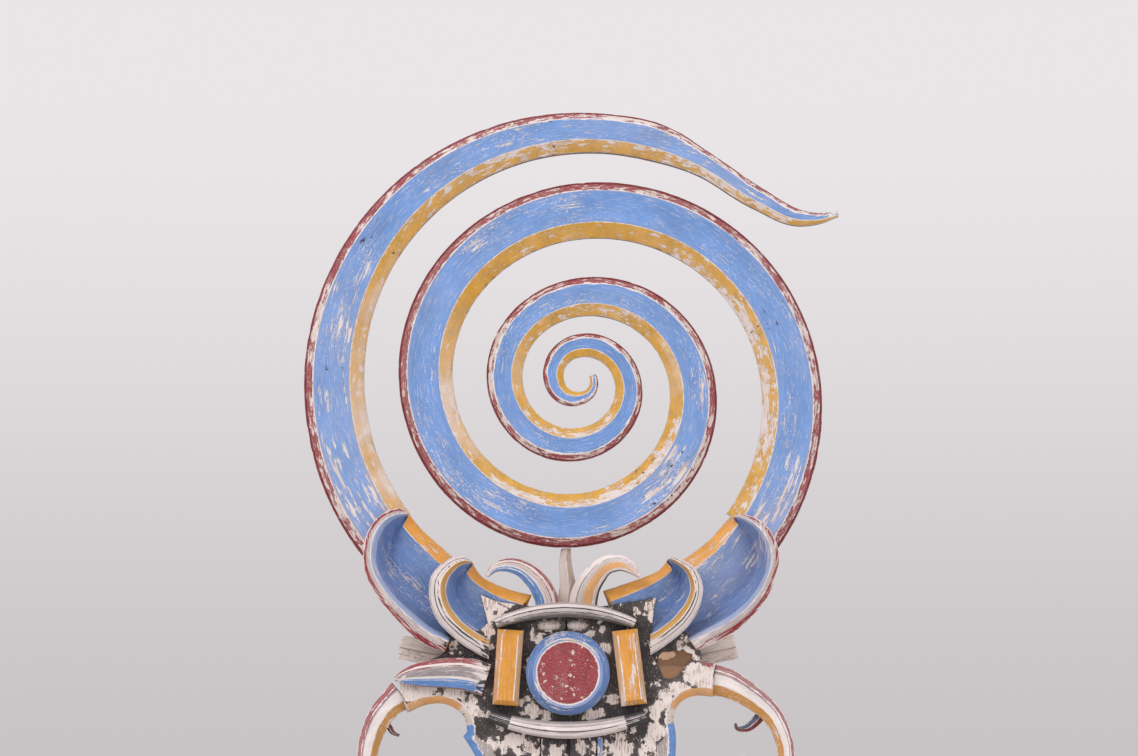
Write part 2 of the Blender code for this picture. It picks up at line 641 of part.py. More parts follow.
clear_scene()
PARTS = collection("carved_roof_finial")
CUTTERS = collection("cutters")
make_arms()
make_head()
make_scroll("scroll_left", LEFT_VOLUTE, LEFT_BARB, 1, 34)
make_scroll("scroll_right", RIGHT_VOLUTE, RIGHT_BARB, -1, 40)
make_leaves()
make_strut()
make_boss()
make_blocks()
make_mouldings()
make_batten()
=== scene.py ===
# %% [markdown]
# # A carved and painted roof finial
# The finial is softwood: a long band wound into a spiral, two pairs of leaf sheaths, a small head
# board with its boss and blocks, and two volute hooks. It was primed white and then painted in
# blue, ochre and red, and years of weather have rubbed the paint off every sharp edge.
# The construction already exists as plain solids. This script loads them as a fixed frame and
# dresses each one: the same forms again, finely cut, with old paint over a white ground.

# %% Load the frame
import math

import bmesh
import bpy
import numpy as np
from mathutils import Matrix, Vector


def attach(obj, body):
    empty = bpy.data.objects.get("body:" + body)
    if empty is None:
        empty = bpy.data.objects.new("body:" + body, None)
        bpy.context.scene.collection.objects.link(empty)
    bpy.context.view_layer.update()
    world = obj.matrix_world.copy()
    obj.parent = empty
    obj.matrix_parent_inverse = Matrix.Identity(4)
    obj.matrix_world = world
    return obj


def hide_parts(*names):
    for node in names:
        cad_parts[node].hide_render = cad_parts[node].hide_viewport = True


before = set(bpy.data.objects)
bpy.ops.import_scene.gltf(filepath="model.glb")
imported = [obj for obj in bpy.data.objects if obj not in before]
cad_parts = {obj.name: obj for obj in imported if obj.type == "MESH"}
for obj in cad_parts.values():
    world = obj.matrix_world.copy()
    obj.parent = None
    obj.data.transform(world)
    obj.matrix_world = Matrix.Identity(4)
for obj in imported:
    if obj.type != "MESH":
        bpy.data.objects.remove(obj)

MM = 0.001
scene = bpy.context.scene
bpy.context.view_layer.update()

# %% [markdown]
# ## The view
# The finial is seen from the front with a long lens, from the height of its hooks, so the camera
# stands 6 m off and looks slightly up at the spiral. The foot is below the view.

# %% Camera
CAMERA_PLACE = (0, -6.0, 0.425)  # metres
CAMERA_PITCH = 5.9  # degrees above level
LENS_MM, FILM_MM = 106, 36
camera_data = bpy.data.cameras.new("long_lens")
camera_data.sensor_width = FILM_MM
camera_data.lens = LENS_MM
camera = bpy.data.objects.new("long_lens", camera_data)
camera.location = CAMERA_PLACE
camera.rotation_euler = (math.radians(90 + CAMERA_PITCH), 0, 0)
scene.collection.objects.link(camera)
scene.camera = camera
scene.view_settings.view_transform = 'Standard'
print("camera:", LENS_MM, "mm lens,", -CAMERA_PLACE[1], "m off, looking", CAMERA_PITCH, "degrees up")

# %% [markdown]
# ## Two helpers for materials
# A material is a tree of nodes. Adding one by hand takes a line for the node, one for each setting
# and one for each link. One small function does all of that and gives the new node's output back,
# ready to go into the next node. A second one turns the colours of a paint chart, which are sRGB,
# into the linear numbers that a shader reckons with.

# %% One small function for nodes, and one for colours
def add(tree, kind, inputs=(), out=0, **settings):
    """Add a node, set its properties, set or link its inputs, and give one output back (or all)."""
    made = tree.nodes.new(kind if kind.startswith("NodeGroup") else "ShaderNode" + kind)
    for name, value in settings.items():
        setattr(made, name, value)
    for name, value in inputs.items() if isinstance(inputs, dict) else enumerate(inputs):
        if isinstance(value, bpy.types.NodeSocket):
            tree.links.new(value, made.inputs[name])
        else:
            made.inputs[name].default_value = value
    return made.outputs if out is None else made.outputs[out] if made.outputs else None


PLUS, MINUS, TIMES = {"operation": 'ADD'}, {"operation": 'SUBTRACT'}, {"operation": 'MULTIPLY'}
SCALE_AND_ADD, LARGER = {"operation": 'MULTIPLY_ADD'}, {"operation": 'MAXIMUM'}
EASED = {"interpolation_type": 'SMOOTHSTEP'}  # MapRange from 0 at its low end to 1 at its high end
COLOURS = {"out": 2, "data_type": 'RGBA'}  # Mix of two colours


def linear(colour):
    """sRGB hex such as '#C84D2A' as the linear RGBA that the shader wants."""
    channels = [int(colour[i:i + 2], 16) / 255 for i in (1, 3, 5)]
    return (*[c / 12.92 if c <= 0.04045 else ((c + 0.055) / 1.055) ** 2.4 for c in channels], 1)


print("half grey in sRGB is", round(linear("#808080")[0], 3), "in linear light")

# %% [markdown]
# ## Floor and light
# A plain pale floor holds the cut-off foot. The light is a studio's: one large soft box high on the
# left, a weaker one on the right, and a pale room that is darker low down, as a paper backdrop is.
# Large lamps are used because their shadows are soft, so the low carving still reads.

# %% Room
world = bpy.data.worlds.new("paper_backdrop")
world.use_nodes = True
scene.world = world
room = world.node_tree
room.nodes.clear()
ROOM_LOW, ROOM_HIGH = "#C7C3C4", "#EAE5E7"
direction = add(room, "TexCoord", out="Generated")
up = add(room, "SeparateXYZ", (direction,), out=2)
height = add(room, "MapRange", (up, -0.03, 0.19), **EASED)
tone = add(room, "Mix", {0: height, 6: linear(ROOM_LOW), 7: linear(ROOM_HIGH)}, **COLOURS)
add(room, "OutputWorld", (add(room, "Background", (tone, 1.0)),))
print("room:", ROOM_LOW, "low down to", ROOM_HIGH, "above")

# %% Lamps
SOFT_BOXES = {"key_box": ((-2.4, -3.4, 3.6), 2.4, 66), "fill_box": ((3.0, -3.6, 2.0), 2.4, 26)}
AIM = Vector((0, 0, 0.8))  # the middle of the finial
for name, (place, width, power) in SOFT_BOXES.items():
    lamp_data = bpy.data.lights.new(name, 'AREA')
    lamp_data.size = width
    lamp_data.energy = power
    lamp = bpy.data.objects.new(name, lamp_data)
    lamp.location = place
    lamp.rotation_euler = (AIM - Vector(place)).to_track_quat('-Z', 'Y').to_euler()
    scene.collection.objects.link(lamp)
    print(name, width, "m wide,", power, "W,", round((AIM - Vector(place)).length, 2), "m off")

# %% Floor
FLOOR_RADIUS = 2.5  # metres
floor_mesh = bmesh.new()
bmesh.ops.create_circle(floor_mesh, cap_ends=True, radius=FLOOR_RADIUS, segments=96)
floor_data = bpy.data.meshes.new("studio_floor")
floor_mesh.to_mesh(floor_data)
floor_mesh.free()
floor = bpy.data.objects.new("studio_floor", floor_data)
scene.collection.objects.link(floor)
# Matt emulsion: an even, pale surface with no shine, which leaves the eye on the finial.
floor_paint = bpy.data.materials.new("matt_floor_paint")
floor_paint.use_nodes = True
floor_shader = floor_paint.node_tree.nodes["Principled BSDF"]
floor_shader.inputs["Base Color"].default_value = linear("#D9D6D4")
floor_shader.inputs["Roughness"].default_value = 0.9
floor_data.materials.append(floor_paint)
print("floor", floor.dimensions[:])

# %% [markdown]
# ## Old paint
# Every coloured surface was made the same way: bare softwood, a white chalk-and-glue ground, and one
# coat of oil paint brushed along the form. Weather then worked on it in layers, and the material is
# built in the same order. First comes the coat with its brush hairs, bleached by the sun and rubbed
# thin. Then comes what fell off, down to the white ground or to the wood: splits along the grain and
# angular flakes. Soot, rubbed arrises and dirt lie on top. One node group holds all of this, so that
# every piece ages alike, and each piece only says how far each kind of wear has gone.

# %% Real sizes of the wear, along and across the grain
STREAK_MM = (48, 2.4)  # length and width of a split in the paint
HAIR_MM = (26, 1.5)  # the finest splits
SPECK_MM = (6, 3)  # pinholes and grime, drawn as coarse as they need to show
FLAKE_MM = (60, 8)  # a blister that came off
SCALE_MM = (26, 4.5)  # the small angular scales that a blister breaks into
PATCH_MM = (150, 60)  # where splits and blisters come in families
CLOUD_MM = (90, 40)  # where the brush was fuller or drier
BARE_MM = (80, 24)  # where the ground went too and the wood shows
FADE_MM = (60, 15)  # paint rubbed thin
BLEACH_MM = (260, 120)  # slow change of tone from the sun
BRUSH_MM = (70, 1.6)  # brush hairs, drawn as coarse as they need to show
RAGGED_MM = (34, 16)  # where an arris was knocked and where it was spared
SMOKE_MM = (26, 12)  # smudges of soot
PAINT_FILM_MM = 0.5  # about twice as thick as in reality, so that its edges show
SOOT, POLISHED_GROUND, DIRT = "#454447", "#F3EAE8", "#57504B"
print("a split is", round(STREAK_MM[0] / STREAK_MM[1]), "times as long as it is wide")

# %% The group, its sockets, and the noise that everything is made of
worn = bpy.data.node_groups.new("worn_paint", 'ShaderNodeTree')
for name in ("Paint", "Ground", "Wood"):
    worn.interface.new_socket(name, in_out='INPUT', socket_type='NodeSocketColor')
worn.interface.new_socket("Grain", in_out='INPUT', socket_type='NodeSocketVector')
for name in ("Arris", "Streaks", "Chips", "Rub", "Fade", "Soot"):
    worn.interface.new_socket(name, in_out='INPUT', socket_type='NodeSocketFloat')
worn.interface.new_socket("Color", in_out='OUTPUT', socket_type='NodeSocketColor')
worn.interface.new_socket("Height", in_out='OUTPUT', socket_type='NodeSocketFloat')
given = add(worn, "NodeGroupInput", out=None)


def lumps(tree, vector, size_mm, detail, roughness=0.6, shift=0):
    """A field of lumps that measure size_mm along and across the grain.

    Its mean is 0.5 and little of it lies under 0.3 or over 0.7, so a limit near 0.6 keeps a tenth of
    the surface. Another shift gives another field.
    """
    along, across = (1 / (size * MM) for size in size_mm)
    spread = add(tree, "Mapping", {0: vector, 1: (shift, shift, shift), 3: (along, across, across)})
    return add(tree, "TexNoise", {"Vector": spread, "Scale": 1, "Detail": detail, "Roughness": roughness})


grain = given["Grain"]
patchy = add(worn, "Math", (lumps(worn, grain, PATCH_MM, 2, shift=7), 0.5, -0.25), **SCALE_AND_ADD)
print("worn_paint takes", len(given) - 1, "values")

# %% [markdown]
# ## The coat
# Oil paint keeps the marks of its brush, and is fuller in one place than in another, so brush hairs
# and clouds scale its tone. The sun then bleaches it toward the ground, slowly and in large areas.
# Where it is rubbed thin, in hairlines and at pinholes, four fifths of the white shows through.

# %% The coat, bleached and rubbed thin
WEAK_SHARE = 0.80  # how much of the ground shows through a weak place
brush = lumps(worn, grain, BRUSH_MM, 3, shift=5)
cloud = lumps(worn, grain, CLOUD_MM, 3, shift=9)
cloudy = add(worn, "Math", (cloud, 0.85, 0.365), **SCALE_AND_ADD)
light = add(worn, "Math", (brush, 0.45, cloudy), **SCALE_AND_ADD)
lightness = add(worn, "CombineXYZ", (light, light, light))
coat = add(worn, "Mix", {0: 1.0, 6: given["Paint"], 7: lightness}, blend_type='MULTIPLY', **COLOURS)

sun = lumps(worn, grain, BLEACH_MM, 2, shift=31)
sunny = add(worn, "MapRange", (sun, 0.40, 0.64, 0.5, 1.0), **EASED)
bleached = add(worn, "Math", (sunny, given["Fade"]), **TIMES)
toned = add(worn, "Mix", {0: bleached, 6: coat, 7: given["Ground"]}, **COLOURS)

thin = lumps(worn, grain, FADE_MM, 6, 0.68, shift=29)
thin_limit = add(worn, "Math", (given["Fade"], -0.22, 0.68), **SCALE_AND_ADD)
thin_full = add(worn, "Math", (thin_limit, 0.04), **PLUS)
rubbed_thin = add(worn, "MapRange", (thin, thin_limit, thin_full), **EASED)

hair = add(worn, "MapRange", (lumps(worn, grain, HAIR_MM, 3, 0.5, shift=19), 0.585, 0.63), **EASED)
hairlines = add(worn, "Math", (hair, given["Streaks"]), **TIMES)
speck = add(worn, "Math", (lumps(worn, grain, SPECK_MM, 3, shift=23), patchy), **PLUS)
specks = add(worn, "MapRange", (speck, 0.63, 0.67), **EASED)
many = add(worn, "Math", (given["Streaks"], 1.6), **TIMES)
pinholes = add(worn, "Math", (specks, many), **TIMES)
fine_holes = add(worn, "Math", (hairlines, pinholes), **LARGER)
pale = add(worn, "Math", (rubbed_thin, fine_holes), **LARGER)
weak = add(worn, "Math", (pale, WEAK_SHARE), **TIMES)
thinned = add(worn, "Mix", {0: weak, 6: toned, 7: given["Ground"]}, **COLOURS)
print("coat:", len(worn.nodes), "nodes so far")

# %% [markdown]
# ## Splits and flakes
# Wood shrinks across the grain, so the film splits along it, and damp then lifts the film in blisters.
# A blister breaks off in small angular scales, because chalk ground is brittle. Noise alone would give
# round blobs, so the place is first moved most of the way to the middle of a Voronoi cell, which makes
# the flake's outline follow the cells' straight sides. Both are made by a limit on a noise: the more
# worn a zone is, the lower its limit. Under them lies the ground, and in places the bare wood.

# %% What comes off down to the white ground or the wood
SCALE_SHARP = 0.65  # how far a place moves to the middle of its scale
split = add(worn, "Math", (lumps(worn, grain, STREAK_MM, 4, 0.62), patchy), **PLUS)
split_limit = add(worn, "Math", (given["Streaks"], -0.30, 0.80), **SCALE_AND_ADD)
split_full = add(worn, "Math", (split_limit, 0.03), **PLUS)
streaks = add(worn, "MapRange", (split, split_limit, split_full), **EASED)
half_patchy = add(worn, "Math", (patchy, 0.7), **TIMES)
scale_size = (SCALE_MM[0] * MM, SCALE_MM[1] * MM, 1)
in_scales = add(worn, "VectorMath", (grain, scale_size), operation='DIVIDE')
cells = {"Vector": in_scales, "Scale": 1}
scale = add(worn, "TexVoronoi", cells, out="Position", voronoi_dimensions='2D')
scale_place = add(worn, "VectorMath", (scale, scale_size), operation='MULTIPLY')
broken = add(worn, "Mix", {0: SCALE_SHARP, 4: grain, 5: scale_place}, out=1, data_type='VECTOR')
blister = add(worn, "Math", (lumps(worn, broken, FLAKE_MM, 6, 0.73, shift=3), half_patchy), **PLUS)
chip_limit = add(worn, "Math", (given["Chips"], -0.34, 0.82), **SCALE_AND_ADD)
chip_full = add(worn, "Math", (chip_limit, 0.02), **PLUS)
chips = add(worn, "MapRange", (blister, chip_limit, chip_full), **EASED)
gone = add(worn, "Math", (streaks, chips), **LARGER)
worn_through = add(worn, "MapRange", (brush, 0.42, 0.66), **EASED)
bare = lumps(worn, grain, BARE_MM, 3, shift=41)
most_through = add(worn, "MapRange", (bare, 0.44, 0.60, 0.20, 0.95), **EASED)
through_share = add(worn, "Math", (worn_through, most_through), **TIMES)
primer = add(worn, "Mix", {0: through_share, 6: given["Ground"], 7: given["Wood"]}, **COLOURS)
chipped = add(worn, "Mix", {0: gone, 6: thinned, 7: primer}, **COLOURS)
print("splits and flakes:", len(worn.nodes), "nodes so far")

# %% [markdown]
# ## Soot, rubbed arrises and dirt
# Lamp smoke left black smudges in sheltered places. Hands and weather took the paint off every arris
# and polished the ground there nearly white: the distance to the arris, made uneven by a noise, says
# how far. Dirt lies over everything in fine dark specks, and comes in families too. The group also
# gives a height: the film stands proud, and its brush hairs make a faint relief.

# %% The top layers and the film's height
smoke = add(worn, "Math", (lumps(worn, grain, SMOKE_MM, 5, 0.7, shift=17), given["Soot"]), **PLUS)
smoked = add(worn, "MapRange", (smoke, 1.0, 1.03), **EASED)
sooted = add(worn, "Mix", {0: smoked, 6: chipped, 7: linear(SOOT)}, **COLOURS)

knocks = lumps(worn, grain, RAGGED_MM, 5, 0.75, shift=11)
bites = add(worn, "Math", (knocks, 15, -5.9), **SCALE_AND_ADD)
rub_full = add(worn, "Math", (given["Rub"], bites), **TIMES)
rub_none = add(worn, "Math", (rub_full, 0.5), **PLUS)
rubbed = add(worn, "MapRange", (given["Arris"], rub_none, rub_full), **EASED)
edged = add(worn, "Mix", {0: rubbed, 6: sooted, 7: linear(POLISHED_GROUND)}, **COLOURS)

grime = add(worn, "Math", (lumps(worn, grain, SPECK_MM, 4, 0.7, shift=13), patchy), **MINUS)
grimy = add(worn, "MapRange", (grime, 0.68, 0.74), **EASED)
dirt = add(worn, "Math", (grimy, 0.50), **TIMES)
surface = add(worn, "Mix", {0: dirt, 6: edged, 7: linear(DIRT)}, **COLOURS)

lost = add(worn, "Math", (gone, rubbed), **LARGER)
film = add(worn, "Math", (1.0, lost), **MINUS)
film_height = add(worn, "Math", (brush, 0.25, film), **SCALE_AND_ADD)
add(worn, "NodeGroupOutput", (surface, film_height))
print("worn_paint has", len(worn.nodes), "nodes")

# %% [markdown]
# ## Colours by zone
# A carved section is painted facet by facet: on the band the outer bevel is red, the dished face blue
# and the inner bevel ochre. Painting that by hand would need an image, so each piece carries three
# flat maps instead. `grain` holds metres along and round the section. `paint` holds the zone number,
# which counts the facets round the section, and the distance to the nearest arris in millimetres.
# `age` holds how sooty and how flaked the place is. A stepped colour ramp reads the zone like a
# colouring book, a second one reads how worn that zone is, and a little noise on the zone makes the
# hand-painted borders wander.

# %% Paints, as the real coats are, but the highlight blue is painted light and the deep blue partly painted shade
BLUE, HIGHLIGHT_BLUE, DEEP_BLUE = "#6896D6", "#8FAEE0", "#4C6DA3"
OCHRE, GOLDEN, DULL_OCHRE = "#E39C33", "#D9A22E", "#B98445"
RED, DARK_RED, PINK = "#98363D", "#7F2C31", "#CFA39F"
WHITE, GREY_WHITE, GREY = "#ECE1DD", "#C9BEB9", "#948D88"
BLACK, WOOD, OLD_WOOD, BROWN = "#2E2A2B", "#BFA083", "#9A8A7A", "#8A6647"
print("ochre is", [round(c, 2) for c in linear(OCHRE)[:3]], "in linear light")

# %% [markdown]
# ## One paint for all pieces
# Old oil paint has lost its gloss: it is rough and reflects little, so it looks soft and dusty, and
# what the eye reads is the broken edge between colour, white ground and wood. The function below
# builds that material from a table of zones. A map value of flaking above 0 takes more chips and
# fades the rest. Below 0 it means a coat that is whole but bleached, down to BLEACHED, where the
# zone's own fading counts MOST_BLEACHED times.

# %% From a table of zones to a material
BLEACHED, MOST_BLEACHED = -0.45, 12.0
FADE_WITH_FLAKING = 5.0
DRY_OIL_ROUGHNESS, DRY_OIL_SHINE = 0.62, 0.35
BORDER_MM, BORDER_WANDER = 22, 0.10  # length of a wobble in a painted border, and its width in zones


def zone_ramp(tree, share, last, stops):
    """A stepped ramp over the zones 0 to last; a stop is (upper end, RGBA)."""
    made = add(tree, "ValToRGB", (share,), out=None)
    ramp = made[0].node.color_ramp
    ramp.interpolation = 'CONSTANT'
    ramp.elements.remove(ramp.elements[-1])
    start = 0
    for end, colour in stops:
        stop = ramp.elements[0] if start == 0 else ramp.elements.new(start / last)
        stop.color = colour
        start = end
    return made


def zone_paint(name, zones, coarse=1.0, relief=0.6, ground=WHITE, wood=WOOD):
    """Old paint whose colour and wear change by zone, with a map of how aged each place is.

    A row of zones is (upper end, colour, streaks, chips, rub, fade). Streaks and chips go from 0, none,
    to 1, nearly all gone. Rub is how freely its arrises are worn. Fade is how bleached the coat is.
    coarse makes the whole wear pattern that many times larger.
    """
    material = bpy.data.materials.new(name)
    material.use_nodes = True
    tree = material.node_tree
    shader = tree.nodes["Principled BSDF"]
    shader.inputs["Roughness"].default_value = DRY_OIL_ROUGHNESS
    shader.inputs["Specular IOR Level"].default_value = DRY_OIL_SHINE
    flat = add(tree, "UVMap", uv_map="grain")
    mapped = add(tree, "VectorMath", {0: flat, 3: 1 / coarse}, operation='SCALE')
    zone, arris = add(tree, "SeparateXYZ", (add(tree, "UVMap", uv_map="paint"),), out=None)[:2]
    soot, flaked = add(tree, "SeparateXYZ", (add(tree, "UVMap", uv_map="age"),), out=None)[:2]
    wobble = lumps(tree, mapped, (BORDER_MM, BORDER_MM), 3)
    wander = add(tree, "Math", (wobble, BORDER_WANDER, -BORDER_WANDER / 2), **SCALE_AND_ADD)
    last = zones[-1][0]
    wandering = add(tree, "Math", (zone, wander), **PLUS)
    share = add(tree, "Math", (wandering, 1 / last), **TIMES)
    colours = zone_ramp(tree, share, last, [(end, linear(colour)) for end, colour, *_ in zones])
    wear, fade = zone_ramp(tree, share, last, [(end, wear) for end, _, *wear in zones])
    streaked, chipped, rubbed = add(tree, "SeparateColor", (wear,), out=None)
    more_chips = add(tree, "Math", (chipped, flaked), **PLUS)
    bleached = add(tree, "MapRange", (flaked, 0, BLEACHED, 1.0, MOST_BLEACHED))
    flaked_fade = add(tree, "Math", (flaked, FADE_WITH_FLAKING, 1.0), **SCALE_AND_ADD)
    sun = add(tree, "Math", (flaked_fade, bleached), **LARGER)
    faded = add(tree, "Math", (fade, sun), **TIMES)
    paint, height = add(tree, "Group", out=None, node_tree=worn)
    group = paint.node
    for socket, value in (("Paint", colours[0]), ("Grain", mapped), ("Arris", arris), ("Streaks", streaked),
                          ("Chips", more_chips), ("Rub", rubbed), ("Fade", faded), ("Soot", soot)):
        tree.links.new(value, group.inputs[socket])
    group.inputs["Ground"].default_value = linear(ground)
    group.inputs["Wood"].default_value = linear(wood)
    tree.links.new(paint, shader.inputs["Base Color"])
    bump = add(tree, "Bump", {"Height": height, "Strength": relief, "Distance": PAINT_FILM_MM * MM})
    tree.links.new(bump, shader.inputs["Normal"])
    print(f"{name}: {len(zones)} zones, {len(tree.nodes)} nodes")
    return material


# %% [markdown]
# ## Sweeping a carved section
# The spiral, the sheaths, the hooks and the mouldings are all one idea: a section that travels along a
# line and changes size on the way. It could be a bevelled curve, but a curve keeps one section. So a
# flat grid is made, like a strip of veneer, with a row for every station on the line, and it is
# wrapped round the sections: its long edges meet and are welded, and its ends are capped. The maps
# are written while the strip is still flat, so they have a clean seam. The next cells are its parts.

# %% Lines, and curves through points
def smooth_curve(knots, count):
    """`count` points evenly spaced along a smooth curve through the knots, whatever their columns."""
    knots = np.asarray(knots, float)
    steps = np.linalg.norm(np.diff(knots[:, :2], axis=0), axis=1)
    along = np.concatenate(([0], np.cumsum(steps)))
    slope = np.gradient(knots, along, axis=0)
    fine = np.linspace(0, along[-1], 24 * len(knots))
    i = np.clip(np.searchsorted(along, fine, side='right') - 1, 0, len(steps) - 1)
    span = steps[i][:, None]
    f = ((fine - along[i]) / steps[i])[:, None]
    curve = ((2 * f ** 3 - 3 * f ** 2 + 1) * knots[i] + (f ** 3 - 2 * f ** 2 + f) * span * slope[i]
             + (3 * f ** 2 - 2 * f ** 3) * knots[i + 1] + (f ** 3 - f ** 2) * span * slope[i + 1])
    walked = np.linalg.norm(np.diff(curve[:, :2], axis=0), axis=1)
    length = np.concatenate(([0], np.cumsum(walked)))
    even = np.linspace(0, length[-1], count)
    return np.column_stack([np.interp(even, length, column) for column in curve.T])


def length_of(line):
    """Length of a plane line in mm."""
    return np.linalg.norm(np.diff(np.asarray(line)[:, :2], axis=0), axis=1).sum()


def normals_across(line):
    """Unit vectors square to a plane line, to the left of its direction."""
    tangent = np.gradient(line[:, :2], axis=0)
    tangent /= np.linalg.norm(tangent, axis=1)[:, None]
    return np.column_stack([-tangent[:, 1], tangent[:, 0]])


def cubic(a, b, c, d, f):
    """Value between b and c, at the fraction f, on a smooth curve through a, b, c and d."""
    bend, twist = 2 * a - 5 * b + 4 * c - d, 3 * b - a - 3 * c + d
    return 0.5 * (2 * b + (c - a) * f + bend * f ** 2 + twist * f ** 3)


def beside(line, across, offset, y):
    """Points at depth y, moved by offset from a plane line along unit vectors across it."""
    x, z = line[:, 0] + offset * across[:, 0], line[:, 1] + offset * across[:, 1]
    return np.column_stack((x, np.broadcast_to(y, len(line)), z))


def through(control, t):
    """Points at t (0 to 1) on a smooth curve through the control points of each station."""
    last = control.shape[1] - 1
    rows = np.arange(len(control))[:, None]
    i = np.clip((t * last).astype(int), 0, last - 1)
    f = (t * last - i)[..., None]
    a, b, c, d = (control[rows, np.clip(i + k, 0, last)] for k in (-1, 0, 1, 2))
    if last == 1:
        return b + (c - b) * f
    return cubic(a, b, c, d, f)


trial = smooth_curve(((0, 0), (100, 0), (100, 100)), 21)
print(f"a trial curve round a corner of 100 mm is {length_of(trial):.0f} mm long")

# %% [markdown]
# ## Relief from a table of random numbers
# A chisel leaves shallow scoops and weather leaves hollows. Both are a smooth random field: a table of
# random numbers, blended between its places. Its seed is given, so each run carves the same marks.

# %% A random relief
TABLE = 97  # places along each side of the table before it repeats


def ripple(along, across, along_mm, across_mm, seed):
    """Smooth random field between -1 and 1 whose lumps are about along_mm by across_mm."""
    table = np.random.default_rng(seed).uniform(-1, 1, (TABLE, TABLE))
    u, v = np.broadcast_arrays(along / along_mm, across / across_mm)
    i, j = np.floor(u).astype(int), np.floor(v).astype(int)
    f, g = (3 * (u - i) ** 2 - 2 * (u - i) ** 3), (3 * (v - j) ** 2 - 2 * (v - j) ** 3)
    i0, i1, j0, j1 = i % TABLE, (i + 1) % TABLE, j % TABLE, (j + 1) % TABLE
    low = table[i0, j0] * (1 - f) + table[i1, j0] * f
    high = table[i0, j1] * (1 - f) + table[i1, j1] * f
    return low * (1 - g) + high * g


sample = ripple(np.arange(0.0, 200.0), 0.0, 13, 9, 1)
print("a ripple runs from", round(sample.min(), 2), "to", round(sample.max(), 2))

# %% [markdown]
# ## From a few corners to a fine section
# A section is drawn as runs between its arrises, each with a few control points. Every run is cut
# finely, and close to an arris twice, so that the arris itself can be rounded by a hair: no carved
# edge is a perfect line after years outdoors. The zone number and the distance to the nearest worn
# arris are worked out at the same time, because here it is known where the arrises are.

# %% Fine sections
SOFTENED_MM = 1.6  # how far an arris is rounded on either side
FAR_MM = 99  # written where no arris is near


def fine_section(runs, counts, crisp):
    """Closed sections from runs of control points; crisp says which run starts at a worn arris."""
    rows, zones, edges = [], [], []
    for k, (control, count) in enumerate(zip(runs, counts)):
        length = np.linalg.norm(control[:, -1] - control[:, 0], axis=1)[:, None] + 1e-6
        near = np.minimum(SOFTENED_MM / length, 0.25)
        inner = near + (1 - 2 * near) * np.linspace(0, 1, count)[None]
        t = np.hstack((np.zeros_like(near), inner))
        rows.append(through(control, t))
        zones.append(k + t)
        before = np.where(crisp[k], t * length, FAR_MM)
        after = np.where(crisp[(k + 1) % len(runs)], (1 - t) * length, FAR_MM)
        edges.append(np.minimum(before, after))
    points = np.hstack(rows)
    first = np.cumsum([0] + [count + 1 for count in counts[:-1]])
    points[:, first] = 0.5 * points[:, first] + 0.25 * (points[:, first - 1] + points[:, first + 1])
    zone = np.hstack(zones)
    edge = np.hstack(edges)
    end = np.full((len(points), 1), float(len(runs)))
    return np.hstack((points, points[:, :1])), np.hstack((zone, end)), np.hstack((edge, edge[:, :1]))


def straight_runs(corners):
    """Runs of two control points each, round a closed section given by its corners at every station."""
    return [np.stack((a, b), axis=1) for a, b in zip(corners, corners[1:] + corners[:1])]


lath = [np.array([corner]) for corner in ((0, 0, 0), (0, 0, 9), (0, 9, 9), (0, 9, 0))]
lath_points = fine_section(straight_runs(lath), (4, 4, 4, 4), (1, 1, 1, 1))[0]
print("the section of a square lath, cut in fours, has", lath_points.shape[1], "points")

# %% [markdown]
# ## Weather and chisel
# The surface is pushed inward, never outward, so a worn piece stays inside the plain solid it dresses.
# Three things do it: a slow warp of the wood, the shallow marks of the gouge, and knocks that take
# bites out of the arrises.

# %% Sink the surface
WARP_MM, WARP_DEPTH = (130, 50), (0.30, 0.25)  # lump size, then mean depth and swing in mm
GOUGE_MM, GOUGE_DEPTH = (17, 12), (0.16, 0.16)
KNOCK_MM, KNOCK_RARITY, KNOCK_DEPTH, KNOCK_REACH = (13, 9), 0.45, 3.2, 3.0


def weathered(points, along, across, edge, seed):
    """Sink a grid of sections a little along its inward normals."""
    lengthwise = np.gradient(points, axis=0)
    body = points[:, :-1]
    crosswise = np.roll(body, -1, axis=1) - np.roll(body, 1, axis=1)
    normal = np.cross(lengthwise[:, :-1], crosswise)
    normal /= np.linalg.norm(normal, axis=2)[..., None] + 1e-9
    outward = np.sign(np.mean(np.sum(normal * (body - body.mean(axis=1, keepdims=True)), axis=2)))
    normal = np.concatenate((normal, normal[:, :1]), axis=1) * outward
    warp = WARP_DEPTH[0] + WARP_DEPTH[1] * ripple(along, across, *WARP_MM, seed)
    gouge = GOUGE_DEPTH[0] + GOUGE_DEPTH[1] * ripple(along, across, *GOUGE_MM, seed + 1)
    knock = np.clip(ripple(along, across, *KNOCK_MM, seed + 2) - KNOCK_RARITY, 0, 1)
    hit = knock * np.exp(-(edge / KNOCK_REACH) ** 2)
    sink = warp + gouge + KNOCK_DEPTH * hit
    sink[:, -1] = sink[:, 0]
    return points - normal * sink[..., None]


print("weather sinks a face by", round(WARP_DEPTH[0] + GOUGE_DEPTH[0], 2), "mm on average")

# %% [markdown]
# ## Wrapping the strip
# The grid comes from one bmesh operator, whose vertices are then moved to the sections. Doing it this
# way, and not with a Bevel or Skin modifier, keeps the rows and columns in order, so that every map
# can be written from the same arrays that placed the vertices. Each piece's pattern starts elsewhere
# on the noise, or two pieces would wear alike.

# %% Wrap the strip
WELD = 0.001 * MM  # vertices nearer than this are one
DRIFT = np.array([0.731, 0.377])  # metres on the noise from one seed to the next


def tidy_mesh(mesh, name):
    """Turn a bmesh into an object in the scene, with its faces outward and smooth."""
    bmesh.ops.recalc_face_normals(mesh, faces=mesh.faces)
    data = bpy.data.meshes.new(name)
    mesh.to_mesh(data)
    mesh.free()
    data.shade_smooth()
    finished = bpy.data.objects.new(name, data)
    scene.collection.objects.link(finished)
    return finished


